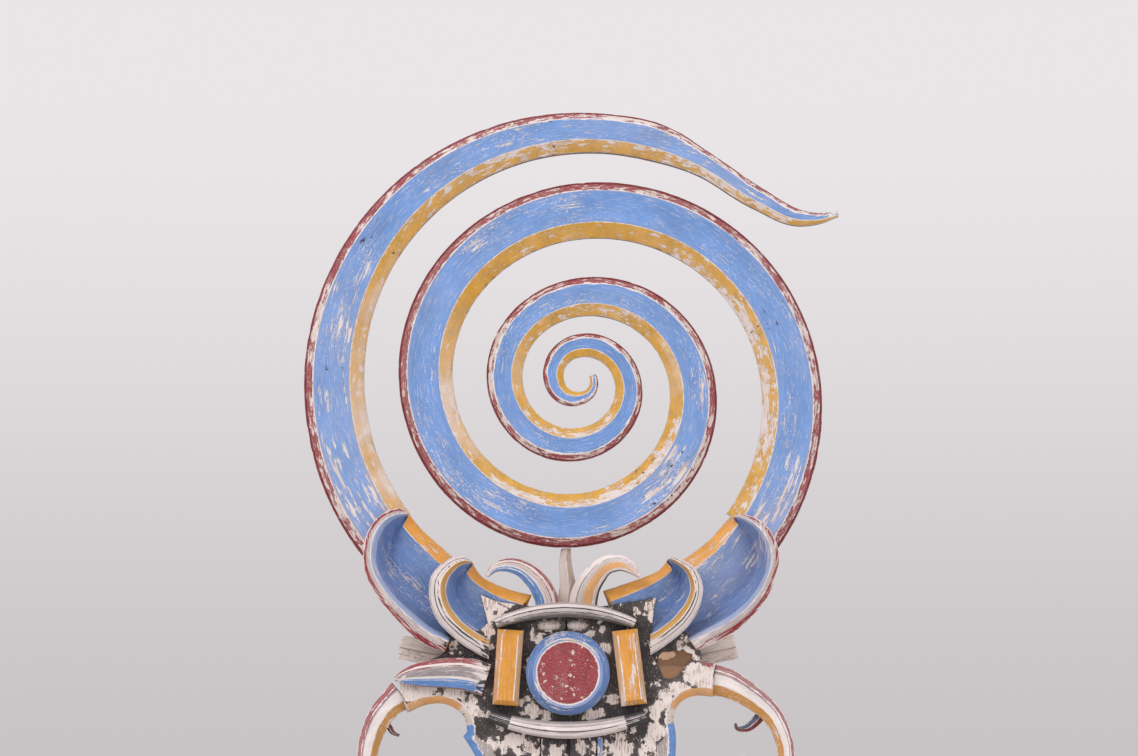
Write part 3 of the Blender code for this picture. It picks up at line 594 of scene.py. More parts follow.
def wrap(name, section, seed, material_index=0, soot=0.0, flaked=0.0, cap_zone=None, shorter=1.0):
    """Wrap a grid round the sections and weld it into a closed piece with its maps.

    soot and flaked age the piece, and shorter makes its streaks and flakes that many times shorter:
    one number each, or an array that fits the grid. The flat ends take the paint of the last zone
    unless cap_zone names another.
    """
    points, zone, edge = section
    middle = points[:, :-1].mean(axis=1)
    along = np.concatenate(([0], np.cumsum(np.linalg.norm(np.diff(middle, axis=0), axis=1))))[:, None]
    stride = np.linalg.norm(np.diff(points, axis=1), axis=2)
    across = np.hstack((np.zeros((len(points), 1)), np.cumsum(stride, axis=1)))
    points = weathered(points, along, across, edge, seed)
    stations, round_about = points.shape[:2]
    mesh = bmesh.new()
    bmesh.ops.create_grid(mesh, x_segments=round_about - 1, y_segments=stations - 1, size=1)
    mesh.verts.ensure_lookup_table()
    for vert, place in zip(mesh.verts, points.reshape(-1, 3) * MM):
        vert.co = place
    grain_map, paint_map, age_map = (mesh.loops.layers.uv.new(name) for name in ("grain", "paint", "age"))
    grain_at = np.stack(np.broadcast_arrays(along * shorter, across), axis=2).reshape(-1, 2) * MM
    grain_at = grain_at + seed * DRIFT
    paint_at = np.stack((zone, edge), axis=2).reshape(-1, 2)
    age_at = np.stack(np.broadcast_arrays(soot, flaked, zone)[:2], axis=2).reshape(-1, 2)
    for face in mesh.faces:
        face.material_index = material_index
        for corner in face.loops:
            k = corner.vert.index
            corner[grain_map].uv = grain_at[k]
            corner[paint_map].uv = paint_at[k]
            corner[age_map].uv = age_at[k]
    bmesh.ops.remove_doubles(mesh, verts=mesh.verts, dist=WELD)
    open_edges = [e for e in mesh.edges if e.is_boundary]
    caps = bmesh.ops.holes_fill(mesh, edges=open_edges)["faces"]
    for face in caps:
        face.material_index = material_index
        for corner in face.loops:
            corner[grain_map].uv = (corner.vert.co.x, corner.vert.co.z)
            corner[paint_map].uv = (zone.max() - 0.5 if cap_zone is None else cap_zone, FAR_MM)
            corner[age_map].uv = (0, 0)
    wrapped = tidy_mesh(mesh, name)
    print(f"{name}: {stations} stations of {round_about - 1} points, {along[-1, 0]:.0f} mm long")
    return wrapped


print("pieces are welded within", round(WELD / MM, 4), "mm")

# %% [markdown]
# ## Joining and cutting
# Leaves are carved out of the same wood as their band, so they are joined by a Boolean, and whatever
# stands in the board is cut away. The Manifold solver is used because all pieces are closed, where it
# is fast and exact. It can leave slivers without width, or two faces back to back: `mend` takes them
# out and counts the edges that don't have exactly two faces. `dress` then gives the piece its paints.

# %% Join and cut
def eased(value, low, high):
    """Share of the way from low to high, held at 0 below and 1 above."""
    return np.clip((np.asarray(value, float) - low) / (high - low), 0, 1)


def combine(piece, tool, operation):
    """Join or cut with another closed piece, which is then removed."""
    modifier = piece.modifiers.new(operation.lower(), 'BOOLEAN')
    modifier.operation = operation
    modifier.solver = 'MANIFOLD'
    modifier.object = tool
    graph = bpy.context.evaluated_depsgraph_get()
    graph.update()
    result = bpy.data.meshes.new_from_object(piece.evaluated_get(graph))
    if not result.polygons:
        raise RuntimeError(f"{piece.name} {operation} {tool.name} left nothing")
    piece.modifiers.clear()
    piece.data = result
    bpy.data.objects.remove(tool, do_unlink=True)


def plate(name, outline, front, back):
    """Flat outline in X and Z (mm) as a closed slab from front to back."""
    mesh = bmesh.new()
    ring = [mesh.verts.new((x * MM, front * MM, z * MM)) for x, z in outline]
    face = mesh.faces.new(ring)
    grown = bmesh.ops.extrude_face_region(mesh, geom=[face])["geom"]
    bmesh.ops.translate(mesh, verts=[g for g in grown if isinstance(g, bmesh.types.BMVert)],
                        vec=(0, (back - front) * MM, 0))
    return tidy_mesh(mesh, name)


print("5 is eased to", eased(5, 0, 10), "between 0 and 10")

# %% Mend and dress
SLIVER = 0.01 * MM  # narrower faces than this are dissolved
TWIN_WELD = 0.0002 * MM  # joins the borders where two faces back to back were taken out


def mend(data):
    """Take out what a cut leaves behind: faces of no width, and pairs of faces that lie back to back."""
    mesh = bmesh.new()
    mesh.from_mesh(data)
    bmesh.ops.dissolve_degenerate(mesh, dist=SLIVER, edges=mesh.edges)
    bmesh.ops.triangulate(mesh, faces=mesh.faces)
    for _ in range(3):
        twins = {}
        for face in mesh.faces:
            twins.setdefault(frozenset(tuple(vert.co) for vert in face.verts), []).append(face)
        doubled = [face for pair in twins.values() if len(pair) > 1 for face in pair]
        bmesh.ops.delete(mesh, geom=doubled, context='FACES')
        bmesh.ops.remove_doubles(mesh, verts=mesh.verts, dist=TWIN_WELD)
    not_closed = sum(len(edge.link_faces) != 2 for edge in mesh.edges)
    mesh.to_mesh(data)
    mesh.free()
    return not_closed


def read_all(items, name, width=1, kind=np.float32):
    """One property of every item, as an array."""
    values = np.zeros(len(items) * width, kind)
    items.foreach_get(name, values)
    return values.reshape(-1, width) if width > 1 else values


def dress(piece, materials, node):
    """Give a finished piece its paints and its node."""
    data = piece.data
    not_closed = mend(data)
    keep = read_all(data.polygons, "material_index", kind=np.int32)
    data.materials.clear()
    for material in materials:
        data.materials.append(material)
    data.polygons.foreach_set("material_index", np.minimum(keep, len(materials) - 1))
    data.name = piece.name
    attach(piece, "root")
    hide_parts(node)
    data.calc_loop_triangles()
    print(f"{piece.name}: {len(data.loop_triangles)} triangles, {[round(d, 3) for d in piece.dimensions]} m,",
          f"{not_closed} edges not closed")


print("faces narrower than", round(SLIVER / MM, 3), "mm are mended away")

# %% [markdown]
# ## The head board
# The board is one plank: a small head with two ears, two shoulders that carry the hooks, and the post.
# Its outline is needed first, because the arms are fitted against it. The hollows under the shoulders
# are made with smooth curves, the rest has straight sides, as a saw leaves them.

# %% Depths and outline of the board
FACE, GROUND, BACK = -28.0, -30.0, 30.0  # y in mm of the band's face, the board's face and all backs
GAP = 0.3  # joint between neighbouring pieces
CLEAR = 90  # y in mm beyond everything, for tools that cut right through
HEAD_TOP = 634
BOARD_TOP = ((-157, 654), (-128, 642), (-100, 638), (-64, HEAD_TOP), (60, HEAD_TOP), (127, 644), (155, 649))
BOARD_RIGHT = ((148, 605), (146, 575), (180, 571), (203, 592), (216, 580), (234, 553), (236, 534), (256, 533))
HOLLOW_RIGHT = ((256, 474), (228, 476), (207, 470), (192, 456), (186, 437), (189, 412))
POST_RIGHT = ((190, 400), (189, 369), (180, 322), (158, 276), (132, 236), (116, 190), (112, 140))
POST_LEFT = ((-112, 140), (-115, 195), (-126, 255), (-147, 320), (-168, 372), (-188, 404))
HOLLOW_LEFT = ((-181, 411), (-184, 432), (-197, 449), (-222, 461), (-254, 460), (-288, 446))
BOARD_LEFT = ((-303, 505), (-270, 527), (-228, 547), (-213, 562), (-222, 584), (-160, 590), (-144, 604))
FOOT_HALF_WIDTH = 112


def grown(outline, distance):
    """Outline pushed outward; its points run clockwise seen from the front."""
    points = np.asarray(outline, float)
    before, after = points - np.roll(points, 1, axis=0), np.roll(points, -1, axis=0) - points
    before /= np.linalg.norm(before, axis=1)[:, None]
    after /= np.linalg.norm(after, axis=1)[:, None]
    middle = np.column_stack([-before[:, 1] - after[:, 1], before[:, 0] + after[:, 0]])
    return points + distance * 2 * middle / np.sum(middle ** 2, axis=1)[:, None]


def board_outline(fineness):
    """Outline of the head board, clockwise from the tip of its left ear."""
    foot = ((FOOT_HALF_WIDTH, 0), (-FOOT_HALF_WIDTH, 0))
    right = np.vstack((smooth_curve(HOLLOW_RIGHT, 8 * fineness), smooth_curve(POST_RIGHT, 7 * fineness)))
    left = np.vstack((smooth_curve(POST_LEFT, 7 * fineness), smooth_curve(HOLLOW_LEFT, 8 * fineness)))
    return np.vstack((BOARD_TOP, BOARD_RIGHT, right, foot, left, BOARD_LEFT))


def clear_of_board(piece):
    """Cut away what would stand in the board, with a joint's gap all round."""
    combine(piece, plate("board", grown(board_outline(2), GAP), GROUND - GAP, CLEAR), 'DIFFERENCE')


wide, high = np.ptp(board_outline(2), axis=0)
print(f"board: {wide:.0f} mm wide, {high:.0f} mm high, {BACK - GROUND:.0f} mm thick")

# %% [markdown]
# ## The band
# The band is a plank carved along its length: a flat, slightly dished face between two bevels. It winds
# inward through almost four turns and thins from 110 mm to a 10 mm tip, with a loose tail at the
# outer end. Its radius and width are given at every quarter turn and the rest is interpolated.

# %% The spiral's line
CENTRE = (14, 1032)
RING_RADIUS = np.array((482, 459, 436, 431, 385, 315, 271, 244, 208, 158, 129, 108, 93, 70, 39, 25, 31, 36.0))
RING_WIDTH = np.array((50, 75, 110, 117, 109, 103, 99, 98, 85, 71, 66, 61, 50, 43, 37, 27, 17, 10.0))
FIRST_TURN = -1  # the quarter turn of both rows' first value; 0 is the top
TAIL = ((486, 1342, 11), (452, 1334, 21), (416, 1335, 31), (344, 1369, 41), (236, 1438, 50))
TAIL_TURN, LEFT_TURN = -0.22, 1.56  # where the outer arm's ring begins and ends
RIGHT_TURN, TIP_TURN = 2.44, 15.35  # the same of the spiral arm
STATION_MM = 5.0  # spacing of the sections along the band


def quarter_turn(row, turn):
    """Cubic interpolation in a row that has one value for every quarter turn."""
    i = np.floor(turn - FIRST_TURN).astype(int)
    f = turn - FIRST_TURN - i
    a, b, c, d = (row[np.clip(i + k, 0, len(row) - 1)] for k in (-1, 0, 1, 2))
    return cubic(a, b, c, d, f)


def ring_line(first, last, count):
    """Centre line of the band with its width, between two quarter turns counted inward from the top."""
    turn = np.linspace(first, last, count)
    angle = np.radians(90 + 90 * turn)
    radius = quarter_turn(RING_RADIUS, turn)
    return np.column_stack((CENTRE[0] + radius * np.cos(angle), CENTRE[1] + radius * np.sin(angle),
                            quarter_turn(RING_WIDTH, turn)))


outer_line = np.vstack((TAIL, ring_line(TAIL_TURN, LEFT_TURN, 12)))
outer_line = smooth_curve(outer_line, int(length_of(outer_line) / STATION_MM))
inner_line = ring_line(RIGHT_TURN, TIP_TURN, 160)
inner_line = smooth_curve(inner_line, int(length_of(inner_line) / STATION_MM))
print(f"band: {length_of(outer_line):.0f} mm outside, {length_of(inner_line):.0f} mm in the spiral")

# %% Its section
FULL_WIDTH, FULL_DEPTH = 110, 58  # mm, where the band is widest
BEVEL_DROP, DISH = 19, 2.5  # how far the bevels fall back, and how hollow the face is
INNER_BEVEL, OUTER_BEVEL = 0.26, 0.16  # shares of the width
INNER_EXTRA, OUTER_EXTRA = 0.12, 0.10  # what the bevels gain where the band is thin
SLACK = 0.025  # how much narrower the inner bevel was cut low on the left
SLACK_SLOPE, SLACK_REACH = 0.6, (100, 300)  # how that place is measured from the centre, in mm
BACK_INSET = 0.04  # the sides lean in toward the back
DEPTH_POWER, DROP_POWER = 0.6, 0.8  # depth and drop shrink more slowly than the width
FACE_LAG = 0.35  # share of the lost depth that is taken off the face


def band_section(line, inner_share, outer_share, inner_side):
    """Sections of the band: inner side, ochre bevel, face, red bevel, outer side, back."""
    across = normals_across(line) * inner_side
    width = line[:, 2]
    size = width / FULL_WIDTH
    thin = 1 - np.minimum(size, 1)
    depth = FULL_DEPTH * size ** DEPTH_POWER
    face = FACE + FACE_LAG * (FULL_DEPTH - depth)
    drop = BEVEL_DROP * size ** DROP_POWER
    half = width / 2
    back_half = half - BACK_INSET * width

    def at(offset, y):
        return beside(line, across, offset, y)

    back_in, edge_in = at(back_half, face + depth), at(half, face + drop)
    right_of, above = line[:, 0] - CENTRE[0], line[:, 1] - CENTRE[1]
    low_left = eased(-right_of - SLACK_SLOPE * above, *SLACK_REACH) * (inner_side > 0)
    arris_in = at(half - (inner_share - SLACK * low_left + INNER_EXTRA * thin) * width, face)
    arris_out = at((outer_share + OUTER_EXTRA * thin) * width - half, face)
    middle = (arris_in + arris_out) / 2 + np.column_stack((0 * size, DISH * size, 0 * size))
    edge_out, back_out = at(-half, face + drop), at(-back_half, face + depth)
    corners = ((back_in, edge_in), (edge_in, arris_in), (arris_in, middle, arris_out), (arris_out, edge_out),
               (edge_out, back_out), (back_out, back_in))
    runs = [np.stack(run, axis=1) for run in corners]
    return fine_section(runs, (5, 6, 12, 5, 5, 6), (0, 1, 1, 1, 1, 0))


band_points = band_section(outer_line, INNER_BEVEL, OUTER_BEVEL, 1)[0]
print("a section of the band has", band_points.shape[1], "points")

# %% [markdown]
# ## The sheaths
# Each arm grows out of a leaf that has opened: a hollow with a rim that stands proud on its outer side
# and the band's ochre bevel along its inner side. A smaller leaf of the same kind lies inside it. A
# sheath is swept like the band, but from three lines at once: the rim, the foot of the hollow and the
# inner edge. The first sections are small, so the rim starts as a point that curls over the band.

# %% Lines of the four sheaths, in x and z
LEFT_BIG = {
    "rim": ((-285, 799), (-300, 808), (-330, 800), (-353, 776), (-365, 742), (-365, 702),
            (-344, 656), (-307, 609), (-255, 564), (-222, 550)),
    "foot": ((-290, 794), (-314, 762), (-321, 705), (-300, 668), (-255, 630), (-203, 596)),
    "edge": ((-283, 796), (-265, 774), (-243, 754), (-211, 726), (-159, 684), (-150, 679)),
}
LEFT_SMALL = {
    "rim": ((-172, 713), (-184, 722), (-203, 722), (-226, 709), (-245, 686), (-249, 658),
            (-240, 618), (-202, 575), (-158, 546), (-120, 530)),
    "foot": ((-174, 709), (-194, 692), (-204, 660), (-190, 630), (-160, 603), (-125, 585)),
    "edge": ((-168, 704), (-156, 689), (-130, 674), (-100, 663), (-67, 655)),
}
RIGHT_BIG = {
    "rim": ((296, 795), (307, 798), (322, 795), (348, 781), (365, 756), (374, 722), (367, 682),
            (351, 646), (326, 614), (257, 567), (228, 554)),
    "foot": ((297, 790), (326, 762), (338, 710), (322, 673), (290, 645), (238, 612), (200, 592)),
    "edge": ((286, 793), (250, 753), (219, 728), (180, 704), (150, 690)),
}
RIGHT_SMALL = {
    "rim": ((176, 718), (188, 721), (201, 716), (224, 702), (238, 669), (232, 632), (211, 597),
            (179, 569), (142, 545), (110, 530)),
    "foot": ((175, 715), (198, 693), (203, 660), (188, 636), (160, 610), (120, 590)),
    "edge": ((172, 711), (160, 699), (134, 687), (88, 671), (61, 662)),
}
# Depths in mm: y of the rim's tip, its crest and its low end, and of the hollow; then the lip's width at
# both ends, the bevel's width, the clearance of the mouth and the depth of the groove in the lip.
BIG_RIM = {"tip": -40, "crest": -60, "low": -46, "hollow": 3, "lip": (11, 25), "bevel": 25, "mouth": 5,
           "groove": 0.5}
SMALL_RIM = {"tip": -48, "crest": -66, "low": -42, "hollow": -6, "lip": (22, 30), "bevel": 24, "mouth": 5,
             "groove": 3.0}
for side, big, small in (("left", LEFT_BIG, LEFT_SMALL), ("right", RIGHT_BIG, RIGHT_SMALL)):
    print(f"rims on the {side}: {length_of(big['rim']):.0f} and {length_of(small['rim']):.0f} mm long")

# %% Sections of a sheath
EDGE_DROP, FLOOR_DIP, RIM_ROUND = 16, 9, 9
LIP_SHARE, BEVEL_SHARE = 0.46, 0.70  # the most that lip and bevel take of the leaf's width
RIM_GROWN, RIM_FALLS = 0.3, 0.62  # shares of the length where the rim is full, and falls again
HOLLOW_GROWN, HOLLOW_START = 0.2, 14  # where the hollow is full, and how far below the tip it starts
GROOVE = ((0.40, 0), (0.47, 1), (0.54, 0))  # across the lip: place, and share of the depth


def sheath_section(lines, rim, count):
    """Sections of a sheath: inner side, ochre bevel, floor, wall, lip, outer wall, back."""
    r, f, e = (smooth_curve(lines[name], count) for name in ("rim", "foot", "edge"))
    s = np.linspace(0, 1, count)
    grow = np.minimum(1, s / RIM_GROWN)
    fade = np.maximum(0, (s - RIM_FALLS) / (1 - RIM_FALLS)) ** 2
    crest_y = rim["tip"] + (rim["crest"] - rim["tip"]) * grow + (rim["low"] - rim["crest"]) * fade
    start = rim["tip"] + HOLLOW_START
    hollow_y = start + (rim["hollow"] - start) * np.minimum(1, s / HOLLOW_GROWN)
    inward, outward = f - r, f - e
    reach, span = (np.linalg.norm(v, axis=1)[:, None] for v in (inward, outward))
    lip = np.interp(s, (0, 1), rim["lip"])[:, None]
    crest = r + inward * np.minimum(lip, LIP_SHARE * reach) / reach
    arris = e + outward * np.minimum(rim["bevel"], BEVEL_SHARE * span) / span

    def at(place, y):
        return np.column_stack((place[:, 0], np.broadcast_to(y, count), place[:, 1]))

    edge_back, edge, top = at(e, BACK), at(e, FACE + EDGE_DROP), at(arris, FACE)
    floor_middle, bottom = at(arris + 0.45 * (f - arris), FACE + FLOOR_DIP), at(f, hollow_y)
    wall = at(f + 0.45 * (crest - f), hollow_y * 0.62 + crest_y * 0.38)
    under_crest, ridge = at(crest + 0.12 * (f - crest), crest_y + 3), at(crest, crest_y)
    lip_line = [at(crest + part * (r - crest), crest_y + RIM_ROUND * part ** 2 + rim["groove"] * deep)
                for part, deep in GROOVE]
    rim_edge, rim_back = at(r, crest_y + RIM_ROUND), at(r + 0.25 * (crest - r), BACK)
    corners = ((edge_back, edge), (edge, top), (top, floor_middle, bottom),
               (bottom, wall, under_crest, ridge), (ridge, *lip_line, rim_edge), (rim_edge, rim_back),
               (rim_back, edge_back))
    runs = [np.stack(run, axis=1) for run in corners]
    return fine_section(runs, (4, 6, 12, 12, 16, 6, 5), (0, 1, 1, 0, 1, 1, 0))


print("a section of a sheath has", sheath_section(LEFT_BIG, BIG_RIM, 9)[0].shape[1], "points")

# %% Outlines that clear one sheath out of the next
def rim_trim(lines, beyond):
    """Outline that removes the band inside a sheath: the rim's first half, moved inward, and beyond."""
    rim, foot = (smooth_curve(lines[name], 49)[:25] for name in ("rim", "foot"))
    toward = foot - rim
    toward /= np.linalg.norm(toward, axis=1)[:, None]
    return np.vstack((rim + toward * BIG_RIM["mouth"], beyond))


def inside_of(lines, margin):
    """Outline just inside a whole sheath, to clear the big leaf out of the small one."""
    rim, foot, edge = (smooth_curve(lines[name], 40)[1:] for name in ("rim", "foot", "edge"))
    from_rim, from_edge = foot - rim, foot - edge
    from_rim *= margin / np.linalg.norm(from_rim, axis=1)[:, None]
    from_edge *= margin / np.linalg.norm(from_edge, axis=1)[:, None]
    return np.vstack((rim + from_rim, (edge + from_edge)[::-1]))


print("the big mouth is cleared by", BIG_RIM["mouth"], "mm, the small one by", SMALL_RIM["mouth"], "mm")

# %% [markdown]
# ## How the weather went round the band
# Rain and sun didn't treat the band alike: the ring's face lost much of its blue low on the left, its
# ochre was bleached there but stayed whole, and sheltered turns kept their coat. Where the ochre is pale
# on the ring's left and right sides, it is partly painted light, as those sides face the lamps. Each table
# below says that for one facet, as (quarter turns from the top, flaking), and is interpolated along the
# band. Numbers below 0 bleach a coat that is whole. A table needs no image and is easy to change.

# %% Flaking and soot along the band
TAIL_TIP_TURN = -0.63
BEVEL_WEAR_SHORTER = 2.5  # paint leaves the bevels in shorter flakes than the face
FLAKED_FACE = (
    (-0.63, 0.05), (-0.45, 0.25), (-0.2, 0.12), (0, 0.12), (0.25, 0.1), (0.5, 0), (0.7, 0.08), (0.85, 0.2),
    (1.0, 0.26), (1.2, 0.38), (1.4, 0.44), (1.52, 0.26), (2.44, 0.24), (2.6, 0.3), (2.9, 0.14), (3.2, 0.14),
    (3.5, 0.02), (3.8, 0), (4.1, 0.05), (4.6, -0.01), (5, 0.02), (5.4, -0.02), (6, 0), (6.2, 0.08),
    (6.4, 0.24), (6.6, 0.22), (6.8, 0.1), (7.2, 0.05), (8, 0))
# Negative numbers on the ring's left and right sides make the ochre paler, partly as painted light where
# those sides face the lamps.
FLAKED_OCHRE = (
    (-0.63, 0.05), (-0.5, 0.35), (-0.25, 0.3), (-0.1, 0.15), (0, 0.1), (0.1, 0.25), (0.3, 0.15),
    (0.5, 0.05), (0.7, -0.25), (1.0, -0.45), (1.3, -0.42), (1.56, -0.2), (2.44, 0.1), (2.7, 0.2), (3, 0.22),
    (3.3, 0.2), (3.7, 0.1), (4.0, 0), (4.3, 0), (4.5, 0.08), (4.7, -0.15), (5, -0.4), (5.3, -0.3),
    (5.6, 0.05), (6, 0), (6.3, 0.1), (6.6, 0.22), (6.8, -0.05), (7, -0.36), (7.3, -0.2), (7.5, 0.15),
    (8, 0.05), (8.4, 0.2), (8.8, -0.2), (9, -0.25), (9.5, 0.1), (10, 0.2), (10.5, 0), (16, 0))
FLAKED_RED = (
    (-0.63, 0.1), (-0.3, 0.2), (0.05, 0.26), (0.25, 0.05), (0.7, 0), (0.85, 0.28), (0.97, 0.03),
    (1.25, 0.05), (1.4, 0.2), (1.56, 0.1), (2.44, 0.08), (2.8, 0.12), (3.2, 0.16), (3.6, 0.05), (4.3, 0),
    (4.7, -0.07), (5.1, -0.07), (5.3, 0.12), (5.5, 0.06), (6, 0), (6.2, 0.12), (6.45, 0.34), (6.7, 0.22),
    (7, 0.12), (7.4, 0.1), (8, 0.05), (8.6, 0.12), (9.2, 0.05), (10, 0.1), (16, 0.05))
# The ochre bevel is paler in places on the half beside the face, or on the half inside the ring.
PALE_BY_FACE = (
    (2.4, 0.15), (2.8, 0.1), (3, 0), (5.25, 0), (5.5, 0.42), (6.2, 0.4), (6.8, 0.4), (7.1, 0), (9.1, 0),
    (9.4, 0.3), (10.2, 0.3), (10.6, 0))
PALE_INSIDE = (
    (2.7, 0), (2.9, 0.3), (3.5, 0.25), (3.8, 0), (6.6, 0), (6.9, 0.2), (7.3, 0.2), (7.6, 0))
# Soot of 0.10 leaves no mark; from about 0.4 it makes smudges.
SOOTY = (
    (0.02, 0.1), (0.06, 0.41), (0.12, 0.1), (0.5, 0.1), (0.62, 0.42), (0.75, 0.1), (0.91, 0.1),
    (0.96, 0.43), (1.02, 0.1), (3.05, 0.1), (3.2, 0.43), (3.4, 0.1), (4.15, 0.1), (4.25, 0.4), (4.4, 0.1),
    (6.25, 0.1), (6.35, 0.41), (6.65, 0.41), (6.75, 0.1))


def turns_along(line, first):
    """How many quarter turns from the top each point of a line has gone round the centre."""
    angle = np.unwrap(np.arctan2(line[:, 1] - CENTRE[1], line[:, 0] - CENTRE[0]))
    return first + (angle - angle[0]) / (math.pi / 2)


print("the outer arm ends at quarter turn", round(turns_along(outer_line, TAIL_TIP_TURN)[-1], 2))

# %% [markdown]
# ## Carving the two arms
# Band and leaves are one carving, so they become one mesh: the band is swept, the mouth of the big leaf
# is cut out of it, the leaf is joined, and the same again for the small leaf. Cutting first leaves no
# band inside the hollow. Where the leaves run down to the head, they are older and sootier.

# %% One arm
BIG_STATIONS, SMALL_STATIONS = 110, 90
BIG_OLD, SMALL_OLD, SMALL_YOUNG = 0.40, 0.52, 0.3  # soot of the low ends, flaking of the small tip
GROUND_PLATE = ((-142, 420), (-142, 636), (144, 636), (144, 420))


def band_with_wear(name, line, first_turn, seed):
    """The band of one arm, with the tables of flaking and soot written to its map.

    Its zones are below 2 on the inner side and the ochre bevel, 2 to 3 on the face, and above 3 on the
    red bevel, the outer side and the back.
    """
    turns = turns_along(line, first_turn)[:, None]
    section = band_section(line, INNER_BEVEL, OUTER_BEVEL, 1)
    zone = section[1]
    ochre, face, red, by_face, inside = (np.interp(turns, *zip(*table)) for table in
                                         (FLAKED_OCHRE, FLAKED_FACE, FLAKED_RED, PALE_BY_FACE, PALE_INSIDE))
    ochre = ochre + np.where(zone > 1.5, by_face, inside)
    flaked = np.where(zone < 2, ochre, np.where(zone < 3, face, red))
    shorter = np.where((zone > 2.04) & (zone < 2.96), 1, BEVEL_WEAR_SHORTER)
    soot = np.interp(turns, *zip(*SOOTY)) * (zone < 4)
    return wrap(name, section, seed, soot=soot, flaked=flaked, shorter=shorter)


def make_arm(name, line, first_turn, big, small, trim, seed, sunned):
    """One arm: band, big leaf and small leaf, joined and cut clear of the board.

    sunned is how much more the big leaf has flaked.
    """
    arm = band_with_wear(name, line, first_turn, seed)
    combine(arm, plate("mouth", trim, -CLEAR, CLEAR), 'DIFFERENCE')
    section = sheath_section(big, BIG_RIM, BIG_STATIONS)
    along = np.linspace(0, 1, BIG_STATIONS)[:, None]
    old = BIG_OLD * eased(along, 0.76, 0.92) * (section[1] > 3.9)
    combine(arm, wrap("big", section, seed + 1, 1, soot=old, flaked=old / 2 + sunned, cap_zone=1.5), 'UNION')
    combine(arm, plate("small_mouth", inside_of(small, SMALL_RIM["mouth"]), -CLEAR, CLEAR), 'DIFFERENCE')
    section = sheath_section(small, SMALL_RIM, SMALL_STATIONS)
    along = np.linspace(0, 1, SMALL_STATIONS)[:, None]
    old = SMALL_OLD * eased(along, 0.77, 0.88) * (section[1] > 3.45)
    young = SMALL_YOUNG * (1 - eased(along, 0.25, 0.45)) * (section[1] > 4)
    combine(arm, wrap("small", section, seed + 2, 2, soot=old, flaked=old / 2 + young, cap_zone=1.5), 'UNION')
    clear_of_board(arm)
    combine(arm, plate("ground", GROUND_PLATE, -CLEAR, GROUND), 'DIFFERENCE')
    return arm


outer_arm = make_arm("outer_arm_carved", outer_line, TAIL_TIP_TURN, LEFT_BIG, LEFT_SMALL,
                     rim_trim(LEFT_BIG, ((-240, 640), (-180, 770), (-275, 815))), seed=10, sunned=0.0)
spiral_arm = make_arm("spiral_arm_carved", inner_line, RIGHT_TURN, RIGHT_BIG, RIGHT_SMALL,
                      rim_trim(RIGHT_BIG, ((250, 620), (200, 740), (284, 801))), seed=20, sunned=0.18)
print("arms:", len(outer_arm.data.vertices), "and", len(spiral_arm.data.vertices), "vertices")

# %% [markdown]
# ## Painting the arms
# The zone tables follow the facets from the inner side round to the back. On the band they give bare
# wood, golden ochre, the blue face, the red bevel and bare wood again. The sheaths have an ochre bevel,
# a blue hollow that lightens toward the rim, and a lip: a red stripe on the big ones, two dark grooved
# lines on white on the small ones. In the big hollows the floor is a duller, darker blue than the band,
# partly as painted shade, and the wall up to the rim a light blue as painted light. The ochre wall inside
# the small hollows is painted lighter than its paint, as painted light.

# %% Paint the arms
# Oil paint brushed on chalk ground: a flat, dusty colour that breaks into white along the grain.
band_zones = (
    (1, "#7E6C5A", 0.3, 0.3, 0, 0), (2, GOLDEN, 0.45, 0.62, 0.4, 0.065), (2.25, BLUE, 0.5, 0.5, 0.45, 0.09),
    (3, BLUE, 0.5, 0.5, 1.1, 0.09), (3.7, RED, 0.62, 0.8, 0.8, 0.08), (4.2, DARK_RED, 0.2, 0.4, 0.3, 0),
    (6, OLD_WOOD, 0.2, 0.2, 0, 0))
# Big sheath: the floor's duller blues are partly painted shade, and the light blue wall is painted light.
big_zones = (
    (1, OLD_WOOD, 0.2, 0.2, 0, 0), (2, OCHRE, 0.3, 0.6, 0.4, 0.07), (3, "#6488C0", 0.45, 0.52, 0.4, 0.1),
    (3.5, "#6085C0", 0.45, 0.52, 0.2, 0.1), (4, HIGHLIGHT_BLUE, 0.35, 0.48, 1.2, 0.3),
    (4.6, "#B8AAA8", 0.8, 0.54, 0.5, 0.15), (4.72, "#EEE5E2", 0.6, 0.5, 0.3, 0),
    (5.15, RED, 0.6, 0.66, 0.5, 0), (6, GREY_WHITE, 0.4, 0.4, 0, 0), (7, OLD_WOOD, 0.2, 0.2, 0, 0))
# Small sheath: the wall's ochre, #DFA63A, is painted lighter than the real ochre, as painted light.
small_zones = (
    (1, OLD_WOOD, 0.2, 0.2, 0, 0), (2, OCHRE, 0.3, 0.58, 0.3, 0.07), (3.4, "#5F86C0", 0.4, 0.5, 0.3, 0.12),
    (3.45, WHITE, 0.4, 0.5, 0, 0), (4, "#DFA63A", 0.3, 0.52, 1.0, 0.12), (4.07, WHITE, 0.5, 0.4, 1.2, 0),
    (4.13, "#5B5654", 0.3, 0.9, 0, 0), (4.43, "#E6DCD8", 0.7, 0.4, 0, 0.2),
    (4.57, "#4B4745", 0.3, 0.7, 0, 0), (4.9, "#DDD2CE", 0.7, 0.4, 0, 0.3), (6, "#9A8F88", 0.4, 0.4, 0.4, 0),
    (7, OLD_WOOD, 0.2, 0.2, 0, 0))
arm_paints = [zone_paint("oil_paint_on_band", band_zones), zone_paint("oil_paint_on_big_sheath", big_zones),
              zone_paint("oil_paint_on_small_sheath", small_zones, wood="#9A8A82")]
dress(outer_arm, arm_paints, "outer_arm")
dress(spiral_arm, arm_paints, "spiral_arm")

# %% [markdown]
# ## The two hooks
# Each shoulder of the board ends in a volute hook. It has the band's section on a small scale, with a
# wider inner bevel, so the same sections serve. A barb, a thin ridged leaf, springs from behind it.
# A bent tube with a taper would be quicker, but it would lose the two bevels that catch the light.

